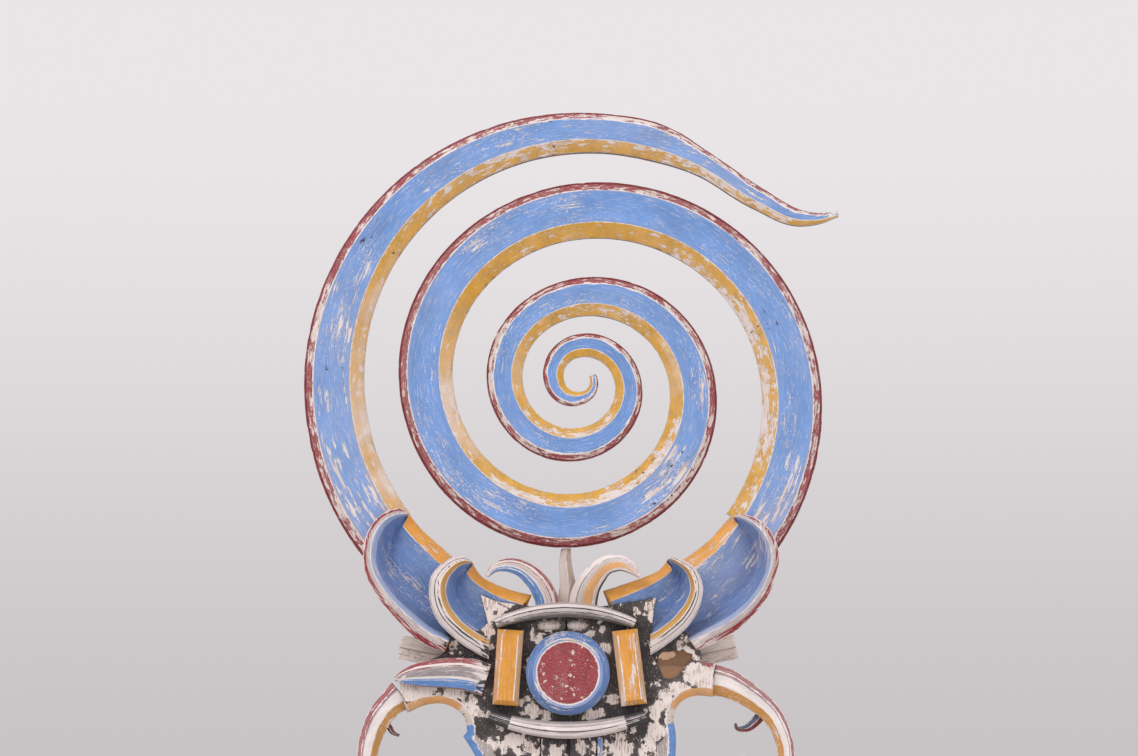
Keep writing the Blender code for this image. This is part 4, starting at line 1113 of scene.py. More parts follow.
# %% Volutes and barbs, as (x, z, width)
VOLUTE_BEVEL = 0.30
HOOK_STATION_MM = 3.5
BARB_RIDGE, BARB_FRONT, BARB_BACK = -6, 4, 20  # y in mm
BARB_STATIONS = 24
LEFT_VOLUTE = (
    (-298, 477, 58), (-316, 462, 49), (-338, 435, 45), (-351, 405, 42), (-358, 372, 39), (-355, 335, 36),
    (-338, 302, 32), (-308, 285, 28), (-279, 293, 25), (-264, 318, 21), (-273, 342, 17), (-294, 346, 13))
RIGHT_VOLUTE = (
    (256.3, 503.5, 59), (281, 498, 54), (308, 484, 48), (335, 466, 42), (359, 444, 38), (375, 417, 34),
    (384, 388, 32), (385, 355, 31), (373, 317, 29), (346, 292, 27), (313, 291, 25), (288, 314, 23),
    (288, 343, 21), (307, 361, 18), (327, 352, 14), (332, 335, 10))
LEFT_BARB = ((-338, 432, 16), (-322, 421, 12), (-314, 410, 9), (-303, 405, 6))
RIGHT_BARB = ((345, 444, 20), (331, 428, 18), (314, 417, 14), (299, 419, 8), (297, 427, 5))


def barb_section(line):
    """Sections of a barb: a ridge in front, flat behind."""
    half = line[:, 2] / 2
    profile = ((-1, BARB_BACK), (-1, BARB_FRONT), (0, BARB_RIDGE), (1, BARB_FRONT), (1, BARB_BACK))
    corners = [beside(line, normals_across(line), a * half, y) for a, y in profile]
    return fine_section(straight_runs(corners), (4, 6, 6, 4, 5), (0, 1, 1, 1, 0))


def make_hook(name, volute, barb, side, seed):
    """One hook with its barb; side is 1 where the inner bevel lies on the left of the line, or -1."""
    line = smooth_curve(volute, int(length_of(volute) / HOOK_STATION_MM))
    hook = wrap(name, band_section(line, VOLUTE_BEVEL, OUTER_BEVEL, side), seed)
    clear_of_board(hook)
    combine(hook, wrap("barb", barb_section(smooth_curve(barb, BARB_STATIONS)), seed + 1, 1), 'UNION')
    return hook


print(f"volutes: {length_of(LEFT_VOLUTE):.0f} and {length_of(RIGHT_VOLUTE):.0f} mm long")

# %% Carve and paint the hooks
# Oil paint on chalk ground again, but the face was left nearly white, which makes the hook look light.
# The thin grey-lilac zone where the white face meets the red is painted shade along that edge.
volute_zones = (
    (1, OLD_WOOD, 0.3, 0.3, 0, 0), (2, "#C98E3A", 0.4, 0.62, 0.7, 0.1), (2.7, "#F3E9E5", 0.5, 0.3, 0.5, 0),
    (2.8, "#B4ADB4", 0.5, 0.5, 0, 0), (4.25, RED, 0.6, 0.66, 0.9, 0.25), (6, OLD_WOOD, 0.2, 0.2, 0, 0))
barb_zones = (
    (1, BROWN, 0.3, 0.3, 0, 0), (2, "#55606F", 0.3, 0.55, 0.5, 0), (3, DARK_RED, 0.3, 0.4, 0.5, 0),
    (5, BROWN, 0.2, 0.2, 0, 0))
hook_paints = [zone_paint("oil_paint_on_hook", volute_zones), zone_paint("oil_paint_on_barb", barb_zones)]
for name, volute, barb, side, seed in (("scroll_left", LEFT_VOLUTE, LEFT_BARB, 1, 30),
                                       ("scroll_right", RIGHT_VOLUTE, RIGHT_BARB, -1, 40)):
    dress(make_hook(name + "_carved", volute, barb, side, seed), hook_paints, name)

# %% [markdown]
# ## Free leaves
# Two curls rise behind the brow and one leaf lies along the left shoulder. Their section is a soft
# ridge with a wide bevel above and one below, and they lean forward as they rise, so their lines also
# say how far in front each point lies. The leaf on the right shoulder is lost: only its scar is left,
# and it isn't made again.

# %% Leaves, as (x, z, width, y of the ridge)
LEAF_PROFILE = ((-1, 0.45), (-0.62, 0.08), (-0.1, 0), (0.45, 0.1), (1, 0.5), (0.8, 1), (-0.8, 1))
LEAF_COUNTS = (7, 8, 8, 8, 5, 8, 5)
LEFT_CURL = (
    (-37, 622, 44, -28), (-40, 646, 44, -29), (-50, 668, 42, -37), (-66, 687, 37, -44), (-88, 702, 31, -51),
    (-112, 706, 25, -56), (-133, 700, 17, -58), (-146, 686, 8, -58))
RIGHT_CURL = (
    (25, 622, 52, -28), (26, 646, 52, -29), (34, 670, 48, -37), (46, 688, 43, -44), (66, 706, 36, -51),
    (90, 710, 31, -56), (112, 700, 22, -58), (127, 685, 9, -58))
SIDE_LEAF = (
    (-146, 503, 60, -57), (-176, 512, 60, -60), (-208, 515, 57, -62), (-240, 514, 51, -62),
    (-268, 512, 43, -60), (-292, 508, 27, -56), (-309, 504, 8, -52))
CURL_DEPTH, SIDE_LEAF_DEPTH = 24, 26
BARE_TIP, TIP_ZONE = 0.6, 1.5  # how much more paint is gone at a tip, in the zones above this
SOOT_ENDS, TIP_BARES = (0.06, 0.26), (0.74, 0.96)  # shares of a leaf's length
LEAF_STATION_MM = 2.5


def leaf_section(line, depth):
    """Sections of a leaf, whose depth shrinks with the root of its width."""
    width, front = line[:, 2], line[:, 3]
    half, thick = width / 2, depth * (width / width[0]) ** 0.5
    corners = [beside(line, normals_across(line), a * half, front + d * thick) for a, d in LEAF_PROFILE]
    return fine_section(straight_runs(corners), LEAF_COUNTS, (1, 1, 0, 1, 1, 0, 0))


def make_leaf(name, knots, depth, seed, soot=0.0):
    """One leaf, sooty at its foot and bare at its tip."""
    line = smooth_curve(knots, int(length_of(knots) / LEAF_STATION_MM))
    section = leaf_section(line, depth)
    along = np.linspace(0, 1, len(line))[:, None]
    old = soot * (1 - eased(along, *SOOT_ENDS))
    bare_tip = BARE_TIP * eased(along, *TIP_BARES) * (section[1] > TIP_ZONE)
    return wrap(name, section, seed, soot=old, flaked=old + bare_tip)


print(f"curls {length_of(LEFT_CURL):.0f} and {length_of(RIGHT_CURL):.0f} mm long,",
      f"side leaf {length_of(SIDE_LEAF):.0f} mm")

# %% Carve and paint the leaves
# Oil paint on chalk ground: the colours meet in narrow worn stripes, as a brush leaves them on a small
# curved leaf, and the bare tips look chalky.
left_curl_zones = (
    (0.95, RED, 0.5, 0.7, 0.6, 0.2), (1.15, PINK, 0.5, 0.7, 0.5, 0), (1.35, WHITE, 0.6, 0.7, 0.4, 0),
    (1.5, RED, 0.6, 0.72, 0.4, 0), (2.2, "#CDB9B5", 0.9, 0.66, 0.3, 0.3),
    (2.55, "#F0E6E3", 0.5, 0.3, 0.3, 0), (4, BLUE, 0.3, 0.45, 0.5, 0), (5, BROWN, 0.2, 0.2, 0, 0),
    (6, OLD_WOOD, 0.2, 0.2, 0, 0), (7, RED, 0.4, 0.5, 0, 0))
# On the right curl the dark slate strip at one edge and the thin grey line beside the white are painted
# shade.
right_curl_zones = (
    (0.45, "#4A4B54", 0.3, 0.5, 0.5, 0), (1, WHITE, 0.3, 0.4, 0.5, 0), (2.3, OCHRE, 0.3, 0.52, 0.5, 0.2),
    (3.0, GREY_WHITE, 0.5, 0.5, 0.4, 0), (3.15, "#8C8583", 0.4, 0.6, 0, 0), (4, WHITE, 0.4, 0.4, 0.4, 0),
    (5, GREY_WHITE, 0.3, 0.3, 0, 0), (6, OLD_WOOD, 0.2, 0.2, 0, 0), (7, BLACK, 0.2, 0.2, 0, 0))
side_leaf_zones = (
    (0.94, RED, 0.3, 0.55, 0.5, 0.1), (1.25, "#EBE2DC", 0.2, 0.1, 0.5, 0), (1.38, RED, 0.9, 0.8, 0.2, 0),
    (2.5, "#948B8E", 0.6, 0.52, 0.2, 0.12), (2.8, "#E8DFDA", 0.5, 0.3, 0.2, 0),
    (3.78, BLUE, 0.4, 0.45, 0.2, 0), (5, BROWN, 0.3, 0.3, 0.2, 0), (6, OLD_WOOD, 0.2, 0.2, 0, 0),
    (7, DARK_RED, 0.3, 0.4, 0, 0))
for name, knots, zones, seed in (("top_curl_left", LEFT_CURL, left_curl_zones, 50),
                                 ("top_curl_right", RIGHT_CURL, right_curl_zones, 60)):
    curl = make_leaf(name + "_carved", knots, CURL_DEPTH, seed)
    clear_of_board(curl)
    dress(curl, [zone_paint("oil_paint_on_" + name, zones)], name)
side_leaf = make_leaf("side_leaf_left_carved", SIDE_LEAF, SIDE_LEAF_DEPTH, 70, soot=0.5)
dress(side_leaf, [zone_paint("oil_paint_on_side_leaf", side_leaf_zones)], "side_leaf_left")

# %% [markdown]
# ## The prop
# A small tapered prop stands between the curls and steadies the lowest turn of the spiral. It was
# split rather than carved, and has little paint left.

# %% Prop
STRUT_FOOT, STRUT_TOP = (-5, 37), (-5, 19)  # x and width
STRUT_DEPTH, STRUT_RIDGE = 24, 7
STRUT_BACKS = (24, 20)  # y of its back at the foot and at the top
STRUT_STATIONS, STRUT_SWAY, TOP_CLEARANCE = 44, 12, 1
lowest_turn = ring_line(6, 6.01, 2)[0]
strut_top = lowest_turn[1] - lowest_turn[2] / 2 - TOP_CLEARANCE
strut_z = np.linspace(HEAD_TOP + GAP, strut_top, STRUT_STATIONS)
share = np.linspace(0, 1, STRUT_STATIONS)
half = np.interp(share, (0, 1), (STRUT_FOOT[1] / 2, STRUT_TOP[1] / 2))
back = np.interp(share, (0, 1), STRUT_BACKS)
front = back - STRUT_DEPTH
middle = STRUT_FOOT[0] + STRUT_SWAY * np.sin(share * 5) * share * (1 - share)
shoulder = front + STRUT_RIDGE
strut_profile = ((-0.98, back), (-0.98, shoulder), (0.1, front), (0.98, shoulder), (0.98, back))
strut_corners = [np.column_stack((middle + a * half, y, strut_z)) for a, y in strut_profile]
strut = wrap("strut_carved", fine_section(straight_runs(strut_corners), (6, 8, 8, 6, 8), (0, 1, 1, 1, 0)), 80)
# Limewash on split wood: chalky white that has sunk into the grain and lets brown fibres through.
strut_zones = (
    (1, OLD_WOOD, 0.3, 0.3, 0, 0), (2, "#E6DAD2", 0.5, 0.5, 0.4, 0), (3, "#C9B5A3", 0.5, 0.6, 0.4, 0),
    (5, OLD_WOOD, 0.2, 0.2, 0, 0))
dress(strut, [zone_paint("weathered_limewash_on_prop", strut_zones)], "strut")

# %% [markdown]
# ## Brow, chin and batten
# These are bars bent on an arc: the brow and chin are half-round mouldings with two scratched
# grooves, planed straight and steamed, and the batten behind is a plain stepped lath. The section is
# carried along a circular arc and thins to both ends.

# %% Bars on an arc
# Ends in x and z, rise of the arc and height of the bar in mm; then the share of half the length from
# which it is black with soot, how sooty it is there, and how much of that has flaked.
BROW = {"ends": ((-130, 602), (117, 602)), "rise": 25, "height": 27, "black_from": 0.72, "black": 0.42,
        "bare": 0.9}
CHIN = {"ends": ((-141, 440), (136, 441)), "rise": -26, "height": 31, "black_from": 0.71, "black": 0.72,
        "bare": 0.2}
MOULDING_PROUD, MOULDING_TAPER = 45, 0.32  # mm before the board, and what the ends lose of it
MOULDING_STATIONS, BATTEN_STATIONS = 120, 150
MOULDING_PROFILE = (
    (-1, 0), (-1, 0.55), (-0.72, 0.9), (-0.4, 0.96), (-0.35, 0.9), (-0.3, 0.96), (0.14, 1), (0.2, 0.92),
    (0.26, 1), (0.72, 0.88), (1, 0.52), (1, 0))
MOULDING_COUNTS = (5, 5, 5, 3, 3, 6, 3, 3, 6, 5, 5, 6)
MOULDING_CRISP = (0, 0, 0, 1, 0, 1, 1, 0, 1, 0, 0, 0)
BATTEN_ENDS = ((-304, 561), (300, 567))
BATTEN_RISE, BATTEN_STEP = -34, 4
BATTEN_SECTION = (44, 20)  # mm high and thick


def arc_through(ends, rise, count):
    """Middle line of a bar on a circular arc between two ends, with its unit vectors upward."""
    (x0, z0), (x1, z1) = ends
    chord = math.hypot(x1 - x0, z1 - z0)
    radius = (chord ** 2 / 4 + rise ** 2) / (2 * rise)
    angle = np.linspace(-1, 1, count) * math.asin(chord / 2 / radius)
    middle = ((x0 + x1) / 2, (z0 + z1) / 2 + rise - radius)
    upward = np.column_stack((np.sin(angle), np.cos(angle)))
    return np.array(middle) + radius * upward, upward


def bar_section(arc, upward, profile, front, size, counts, crisp):
    """Sections of a bar: profile has (up, proud) in mm, proud of the plane y = front."""
    corners = [beside(arc, upward, a * size, front - d * size) for a, d in profile]
    return fine_section(straight_runs(corners), counts, crisp)


print("the brow's arc has its middle at", arc_through(BROW["ends"], BROW["rise"], 3)[0][1].round(1), "mm")

# %% Plane and paint the mouldings
# Limewash over old paint: greyed and dull on the brow, where lamp smoke reached it, and nearly white on
# the chin. The brow's lower facets are painted darker, as painted shade under it, and its upper front is
# palest, partly as painted light. Two thin dark lines are painted along each bar at its scratched grooves.
MOULDING_WEAR = (  # upper end of the zone, streaks, chips, rub, fade
    (1, 0.3, 0.3, 0, 0), (2, 0.4, 0.3, 0, 0), (3, 0.5, 0.3, 0.3, 0), (5, 0.6, 0.5, 0.3, 0),
    (6, 0.6, 0.4, 0.4, 0.2), (7, 0.2, 0.6, 0, 0), (7.6, 0.4, 0.4, 0, 0), (9, 0.6, 0.3, 0.6, 0.2),
    (10, 0.6, 0.4, 0.3, 0.2), (11, 0.4, 0.4, 0, 0), (12, 0.2, 0.2, 0, 0))
# Tones by zone from the lower side up: the first three, on the brow's lower facets, are painted shade.
BROW_TONES_WITH_PAINTED_SHADE = (
    "#5E5855", "#77716D", "#8F8884", "#958B88", "#CFC5C3", "#474341", "#9F9592", "#E6DDDB", "#A89E9B", GREY,
    OLD_WOOD)
# On the chin, whose profile is turned over, the darker first tones lie on its upper facets.
CHIN_COLOURS = (
    "#8F8884", "#B8AEAA", "#D3C9C5", "#DCD2CE", "#F0E7E4", "#4E4A48", "#D3C9C5", "#F5EDEA", "#E2D8D5",
    "#A9A09C", OLD_WOOD)
for name, bar, colours, seed in (("brow_moulding", BROW, BROW_TONES_WITH_PAINTED_SHADE, 90),
                                 ("chin_moulding", CHIN, CHIN_COLOURS, 95)):
    arc, upward = arc_through(bar["ends"], bar["rise"], MOULDING_STATIONS)
    if bar["rise"] < 0:
        upward = -upward
    share = np.linspace(-1, 1, MOULDING_STATIONS)
    size = 1 - MOULDING_TAPER * share ** 2
    profile = [(a * bar["height"] / 2, d * MOULDING_PROUD) for a, d in MOULDING_PROFILE]
    section = bar_section(arc, upward, profile, GROUND - GAP, size, MOULDING_COUNTS, MOULDING_CRISP)
    old = bar["black"] * eased(np.abs(share), bar["black_from"], bar["black_from"] + 0.03)[:, None]
    planed = wrap(name + "_planed", section, seed, soot=old, flaked=bar["bare"] * old)
    zones = [(end, colour, *wear) for (end, *wear), colour in zip(MOULDING_WEAR, colours)]
    dress(planed, [zone_paint("limewash_on_" + name, zones)], name)

# %% Plane the batten
batten_half = BATTEN_SECTION[0] / 2
batten_profile = ((-batten_half, 0), (-batten_half, -BATTEN_SECTION[1]), (batten_half, -BATTEN_SECTION[1]),
                  (batten_half, -BATTEN_STEP), (0.1 * batten_half, -BATTEN_STEP), (0.05 * batten_half, 0))
arc, upward = arc_through(BATTEN_ENDS, BATTEN_RISE, BATTEN_STATIONS)
batten_section = bar_section(arc, -upward, batten_profile, BACK + GAP, np.ones(BATTEN_STATIONS),
                             (6, 10, 6, 6, 3, 8), (0, 0, 0, 0, 0, 0))
# Bare softwood that rain has washed pale: whitish fibres, with grey-brown where the grain has opened.
batten_zones = (
    (3, "#E3D3CA", 0.5, 0.3, 0, 0), (4, "#F0E4DC", 0.6, 0.4, 0, 0), (5, "#BFB0A6", 0.5, 0.2, 0, 0),
    (6, "#F2E7E0", 0.6, 0.4, 0, 0))
batten_paint = zone_paint("weathered_softwood_on_batten", batten_zones, ground="#8B7C71")
dress(wrap("back_batten_planed", batten_section, 100), [batten_paint], "back_batten")

# %% [markdown]
# ## Maps for pieces that aren't swept
# The boss is turned and the board is a slab, so their maps are written afterwards, from the place of
# each corner: the same three maps, read by the same paint. A mesh gives such lists quickest with
# `foreach_get`, all at once, where a Python loop over the corners would take seconds.

# %% Corners and maps
def corner_places(data):
    """Place of every face corner in mm, the middle of its face, and its face's material index."""
    places = read_all(data.vertices, "co", 3)[read_all(data.loops, "vertex_index", kind=np.int32)]
    sizes = read_all(data.polygons, "loop_total", kind=np.int32)
    face = np.repeat(np.arange(len(sizes)), sizes)
    middles = read_all(data.polygons, "center", 3)[face]
    index = read_all(data.polygons, "material_index", kind=np.int32)[face]
    return places.astype(float) / MM, middles.astype(float) / MM, index


def write_maps(data, along, across, zone, edge, soot=0.0, flaked=0.0):
    """Write the three maps, one value for every face corner; lengths are in mm."""
    count = len(data.loops)
    maps = {"grain": (along * MM, across * MM), "paint": (zone, edge), "age": (soot, flaked)}
    for name, pair in maps.items():
        layer = data.uv_layers.get(name) or data.uv_layers.new(name=name)
        columns = [np.broadcast_to(np.asarray(column, np.float32), count) for column in pair]
        layer.uv.foreach_set("vector", np.column_stack(columns).astype(np.float32).ravel())
    print(f"maps for {count} corners, with zones {np.min(zone):.1f} to {np.max(zone):.1f}")


batten_places = corner_places(bpy.data.objects["back_batten_planed"].data)[0]
print("the batten's corners begin at", batten_places.min(axis=0).round(1), "mm")

# %% [markdown]
# ## The boss
# The round boss was turned on a lathe: a flat red face inside a blue ring with a slack bevel. A
# profile is spun about the axis, which is what a lathe does, and then dented a little. On the face
# the grain runs straight across, and on the ring the streaks follow the lathe tool round, so the map
# of the grain is flat inside and polar outside.

# %% Turn the boss
BOSS_CENTRE = (-2, 515)
BOSS_PROFILE = (
    (0.01, -67.4), (30, -67.6), (54.5, -68), (55.8, -67.2), (57.2, -69.4), (59, -70), (61, -69.6),
    (67.5, -62.8), (73.4, -56), (74, -54), (74, -44), (74, GROUND - GAP))
BOSS_FACE, BOSS_LINE, BOSS_RIDGE, BOSS_EDGE, BOSS_RADIUS = 55.5, 57.3, 61.2, 73.6, 74
BOSS_STEPS, BOSS_RING_MM = 180, 2.0
DENT_MM, DENT_DEPTH = 21, 0.7
NICK_MM, NICK_RARITY, NICK_DEPTH, NICK_REACH, NICK_RADIUS = 9, 0.4, 2.0, 2.5, 61
OFFSET = 500  # keeps ripple's places positive
POLE_WELD = 0.05 * MM  # closes the small hole on the axis


def turned(profile, steps, spacing):
    """Spin a profile of (radius, y) about the Y axis, with rings every `spacing` mm."""
    points = np.array(profile, float)
    walked = np.concatenate(([0], np.cumsum(np.linalg.norm(np.diff(points, axis=0), axis=1))))
    stops = np.unique(np.concatenate((walked, np.arange(0, walked[-1], spacing))))
    mesh = bmesh.new()
    radii, depths = (np.interp(stops, walked, column) * MM for column in points.T)
    line = [mesh.verts.new((radius, y, 0)) for radius, y in zip(radii, depths)]
    for near, far in zip(line, line[1:]):
        mesh.edges.new((near, far))
    bmesh.ops.spin(mesh, geom=mesh.verts[:] + mesh.edges[:], cent=(0, 0, 0), axis=(0, 1, 0), angle=math.tau,
                   steps=steps, use_merge=True)
    bmesh.ops.remove_doubles(mesh, verts=mesh.verts, dist=POLE_WELD)
    bmesh.ops.holes_fill(mesh, edges=[e for e in mesh.edges if e.is_boundary])
    return mesh


lathe = turned(BOSS_PROFILE, BOSS_STEPS, BOSS_RING_MM)
for vert in lathe.verts:
    angle, radius = math.atan2(vert.co.z, vert.co.x), math.hypot(vert.co.x, vert.co.z) / MM
    wave = 0.5 + 0.5 * float(ripple(vert.co.x / MM + OFFSET, vert.co.z / MM + OFFSET, DENT_MM, DENT_MM, 110))
    knock = float(ripple(angle * 60 + OFFSET, 0, NICK_MM, NICK_MM, 111)) - NICK_RARITY
    nick = max(0.0, knock) * math.exp(-((radius - NICK_RADIUS) / NICK_REACH) ** 2)
    if vert.co.y / MM < BOSS_PROFILE[-2][1]:
        vert.co.y += (DENT_DEPTH * wave + NICK_DEPTH * nick) * MM
bmesh.ops.translate(lathe, verts=lathe.verts, vec=(BOSS_CENTRE[0] * MM, 0, BOSS_CENTRE[1] * MM))
boss = tidy_mesh(lathe, "boss_disc_turned")
print("boss:", len(boss.data.vertices), "vertices,", round(boss.dimensions.x / MM, 1), "mm across")

# %% Map and paint the boss
SHORT_GRAIN = 6  # streaks on a broad face are this many times shorter
AROUND_MM = 62  # mm of grain for each radian round the ring
places, middles, _ = corner_places(boss.data)
from_axis = places - (BOSS_CENTRE[0], 0, BOSS_CENTRE[1])
face_from_axis = middles - (BOSS_CENTRE[0], 0, BOSS_CENTRE[1])
radius = np.hypot(from_axis[:, 0], from_axis[:, 2])
face_angle = np.arctan2(face_from_axis[:, 2], face_from_axis[:, 0])
turn_off = np.arctan2(from_axis[:, 2], from_axis[:, 0]) - face_angle
angle = face_angle + (turn_off + math.pi) % math.tau - math.pi
on_face = np.hypot(face_from_axis[:, 0], face_from_axis[:, 2]) < BOSS_FACE
zone = np.interp(radius, (0, BOSS_FACE, BOSS_LINE, BOSS_RIDGE, BOSS_EDGE, BOSS_RADIUS), (0, 1, 2, 3, 4, 4.5))
edge = np.minimum(np.abs(radius - BOSS_RIDGE), np.abs(radius - BOSS_EDGE - 0.5))
boss_along = np.where(on_face, SHORT_GRAIN * from_axis[:, 0], AROUND_MM * angle)
write_maps(boss.data, boss_along, np.where(on_face, from_axis[:, 2], radius), zone, edge)
# Oil paint on turned wood: an even red that breaks into short flakes, and streaks that run round.
# The ring's outer bevel (#5C84C0) and its side (DEEP_BLUE) are darker blues than its face, partly as painted
# shade.
boss_zones = (
    (0.97, RED, 0.25, 0.65, 0, 0.04), (1.7, "#EFE6E4", 0.1, 0.1, 0, 0), (3, BLUE, 0.5, 0.72, 0, 0.25),
    (4.2, "#5C84C0", 0.4, 0.54, 0, 0.07), (5, DEEP_BLUE, 0.2, 0.2, 0, 0))
dress(boss, [zone_paint("oil_paint_on_boss", boss_zones, coarse=1.3)], "boss_disc")

# %% [markdown]
# ## The two blocks
# The blocks beside the boss were sawn square and planed to wide bevels. They are swept upward like
# everything else: near each end the front falls back, which makes the bevel across the end.

# %% Blocks
BLOCK_SIZE, BLOCK_BEVEL, BLOCK_STATIONS = (47, 30, 134), 9, 68
BLOCKS = {"block_left": (-108, 525, 4, 0.04), "block_right": (107, 525, -7, 0.13)}  # x, z, tilt, flaking


def block_section(middle_x, middle_z, tilt):
    """Sections of a block from its foot up, turned by its tilt in degrees."""
    width, proud, height = BLOCK_SIZE
    half, top = width / 2, height / 2
    bevels = [-top + BLOCK_BEVEL, top - BLOCK_BEVEL]
    up = np.unique(np.concatenate((np.linspace(-top, top, BLOCK_STATIONS), bevels)))
    inset = np.minimum(top - np.abs(up), BLOCK_BEVEL)
    back = GROUND - GAP
    shoulder, front = back - proud + BLOCK_BEVEL, back - proud + BLOCK_BEVEL - inset
    turn = math.radians(tilt)
    corners = []
    for side, y in ((-half, back), (-half, shoulder), (inset - half, front), (half - inset, front),
                    (half, shoulder), (half, back)):
        x, z = side * math.cos(turn) + up * math.sin(turn), up * math.cos(turn) - side * math.sin(turn)
        corners.append(np.column_stack((middle_x + x, np.broadcast_to(y, len(up)), middle_z + z)))
    section = fine_section(straight_runs(corners), (5, 5, 14, 5, 5, 8), (0, 0, 1, 1, 0, 0))
    section[2][np.abs(up) > top - BLOCK_BEVEL] = FAR_MM
    return section


# Oil paint on planed wood: the flattest colour on the finial, with chips that follow the plane's track.
block_zones = (
    (1, DULL_OCHRE, 0.3, 0.2, 0, 0.2), (2, "#D59B5B", 0.4, 0.58, 0.4, 0.12),
    (3, OCHRE, 0.35, 0.68, 0.6, 0.03), (4, "#CD9B5E", 0.4, 0.62, 0.6, 0.15), (6, BROWN, 0.2, 0.2, 0, 0))
block_paint = zone_paint("oil_paint_on_blocks", block_zones, coarse=1.1)
for seed, (name, (*place, flaked)) in enumerate(BLOCKS.items()):
    planed = wrap(name + "_planed", block_section(*place), 120 + seed, flaked=flaked)
    dress(planed, [block_paint], name)

# %% [markdown]
# ## Cutting the board
# The carver worked the face of a slab first and sawed it to its outline after, and so do these cells.
# The slab is a fine grid with a worked front. It is then cut by the outline, whose edges are bevelled
# in the hollows under the shoulders and down the post. Knobs, seams and the scar follow.

# %% The slab
BOARD_GRID_MM, BOARD_MARGIN = 4, 6
BOARD_SINK, BOARD_WARP, BOARD_GOUGE = 0.35, 0.3, 0.25  # mean depth and swings in mm
LEAST_SINK = 0.02  # mm, so that no gouge mark stands in front of the solid
WARP_LUMP, GOUGE_LUMP = (70, 22), (19, 8)  # mm up and across

outline = board_outline(3)
low, high = outline.min(axis=0) - BOARD_MARGIN, outline.max(axis=0) + BOARD_MARGIN
across_count, up_count = (int(n) for n in (high - low) / BOARD_GRID_MM)
slab_mesh = bmesh.new()
bmesh.ops.create_grid(slab_mesh, x_segments=across_count, y_segments=up_count, size=1)
flat = np.array([v.co[:2] for v in slab_mesh.verts])
flat = low + (flat + 1) / 2 * (high - low)
sink = BOARD_SINK + BOARD_WARP * ripple(flat[:, 1], flat[:, 0], *WARP_LUMP, 130)
sink = sink + BOARD_GOUGE * ripple(flat[:, 1], flat[:, 0], *GOUGE_LUMP, 131)
for vert, (x, z), y in zip(slab_mesh.verts, flat, np.maximum(sink, LEAST_SINK)):
    vert.co = (x * MM, (GROUND + y) * MM, z * MM)
rim = [e for e in slab_mesh.edges if e.is_boundary]
grown_rim = bmesh.ops.extrude_edge_only(slab_mesh, edges=rim)["geom"]
for vert in grown_rim:
    if isinstance(vert, bmesh.types.BMVert):
        vert.co.y = (BACK + BOARD_MARGIN) * MM
bmesh.ops.holes_fill(slab_mesh, edges=[e for e in slab_mesh.edges if e.is_boundary])
board = tidy_mesh(slab_mesh, "head_board_carved")
print("slab:", across_count, "by", up_count, "fields, sunk by", round(sink.max(), 2), "mm at most")

# %% Saw and bevel it
HOLLOW_BEVEL = 14
BEVEL_FOOT, BEVEL_TOP = 139, 478  # heights between which the edges are bevelled
LONG_EDGE = 70  # an edge this long is a straight end, and isn't bevelled
GROUND_INDEX, EDGE_INDEX, BEVEL_INDEX, SCAR_INDEX = 0, 1, 2, 3

sawn = bmesh.new()
sawn.from_mesh(plate("sawn", outline, GROUND, BACK).data)
bpy.data.objects.remove(bpy.data.objects["sawn"], do_unlink=True)
to_bevel = [e for e in sawn.edges if e.calc_length() < LONG_EDGE * MM
            and all(v.co.y < 0 and BEVEL_FOOT * MM < v.co.z < BEVEL_TOP * MM for v in e.verts)]
bmesh.ops.bevel(sawn, geom=to_bevel, offset=HOLLOW_BEVEL * MM, affect='EDGES', segments=1, profile=0.5,
                material=-1)
for face in sawn.faces:
    face.material_index = BEVEL_INDEX if -0.95 < face.normal.y < -0.3 else EDGE_INDEX
combine(board, tidy_mesh(sawn, "outline_block"), 'INTERSECT')
print("sawn out with", len(to_bevel), "bevelled edges")

# %% Knobs, scar, seams and gouge
KNOBS = ((-36, 600, 21, 9), (15, 600, 19, 9))  # x, z and half sizes
KNOB_PROUD = 9
SCAR, SCAR_DEPTH = (188, 528), 11
SCAR_REACH = (
    (0, 33, 48, 90, 135, 155, 180, 206, 246, 275, 315), (19, 41, 36, 28, 35, 37, 33, 29, 28, 20, 16))
SEAM_FOOT, SEAM_TOP, SEAM_DEPTH = 60, 402, 5
# x, half width, foot and top: three down the post, and the middle one shows again between the knobs.
SEAMS = (
    (-50, 1.2, SEAM_FOOT, SEAM_TOP), (-1, 3.0, SEAM_FOOT, SEAM_TOP), (49, 1.5, SEAM_FOOT, SEAM_TOP),
    (-5, 1.6, 570, 610))
EAR_GOUGE = ((-127, 641), (-107, 631), (-107.6, 628.6), (-127.6, 638.4))


def lens(name, middle, depth, reach, seed, rough, material_index):
    """Flattened ball, roughened, as a knob or as the tool that leaves a scooped scar.

    reach gives directions in degrees and how many mm the outline lies from the middle there.
    """
    mesh = bmesh.new()
    bmesh.ops.create_uvsphere(mesh, u_segments=64, v_segments=32, radius=1)
    for vert in mesh.verts:
        lump = 1 - rough * (0.5 + 0.5 * float(ripple(vert.co.x * 3 + 50, vert.co.z * 3 + 50, 1, 1, seed)))
        out = np.interp(math.degrees(math.atan2(vert.co.z, vert.co.x)) % 360, *reach, period=360)
        place = (middle[0] + out * vert.co.x * lump, GROUND + depth * vert.co.y * lump,
                 middle[1] + out * vert.co.z * lump)
        vert.co = [number * MM for number in place]
    for face in mesh.faces:
        face.material_index = material_index
    return tidy_mesh(mesh, name)


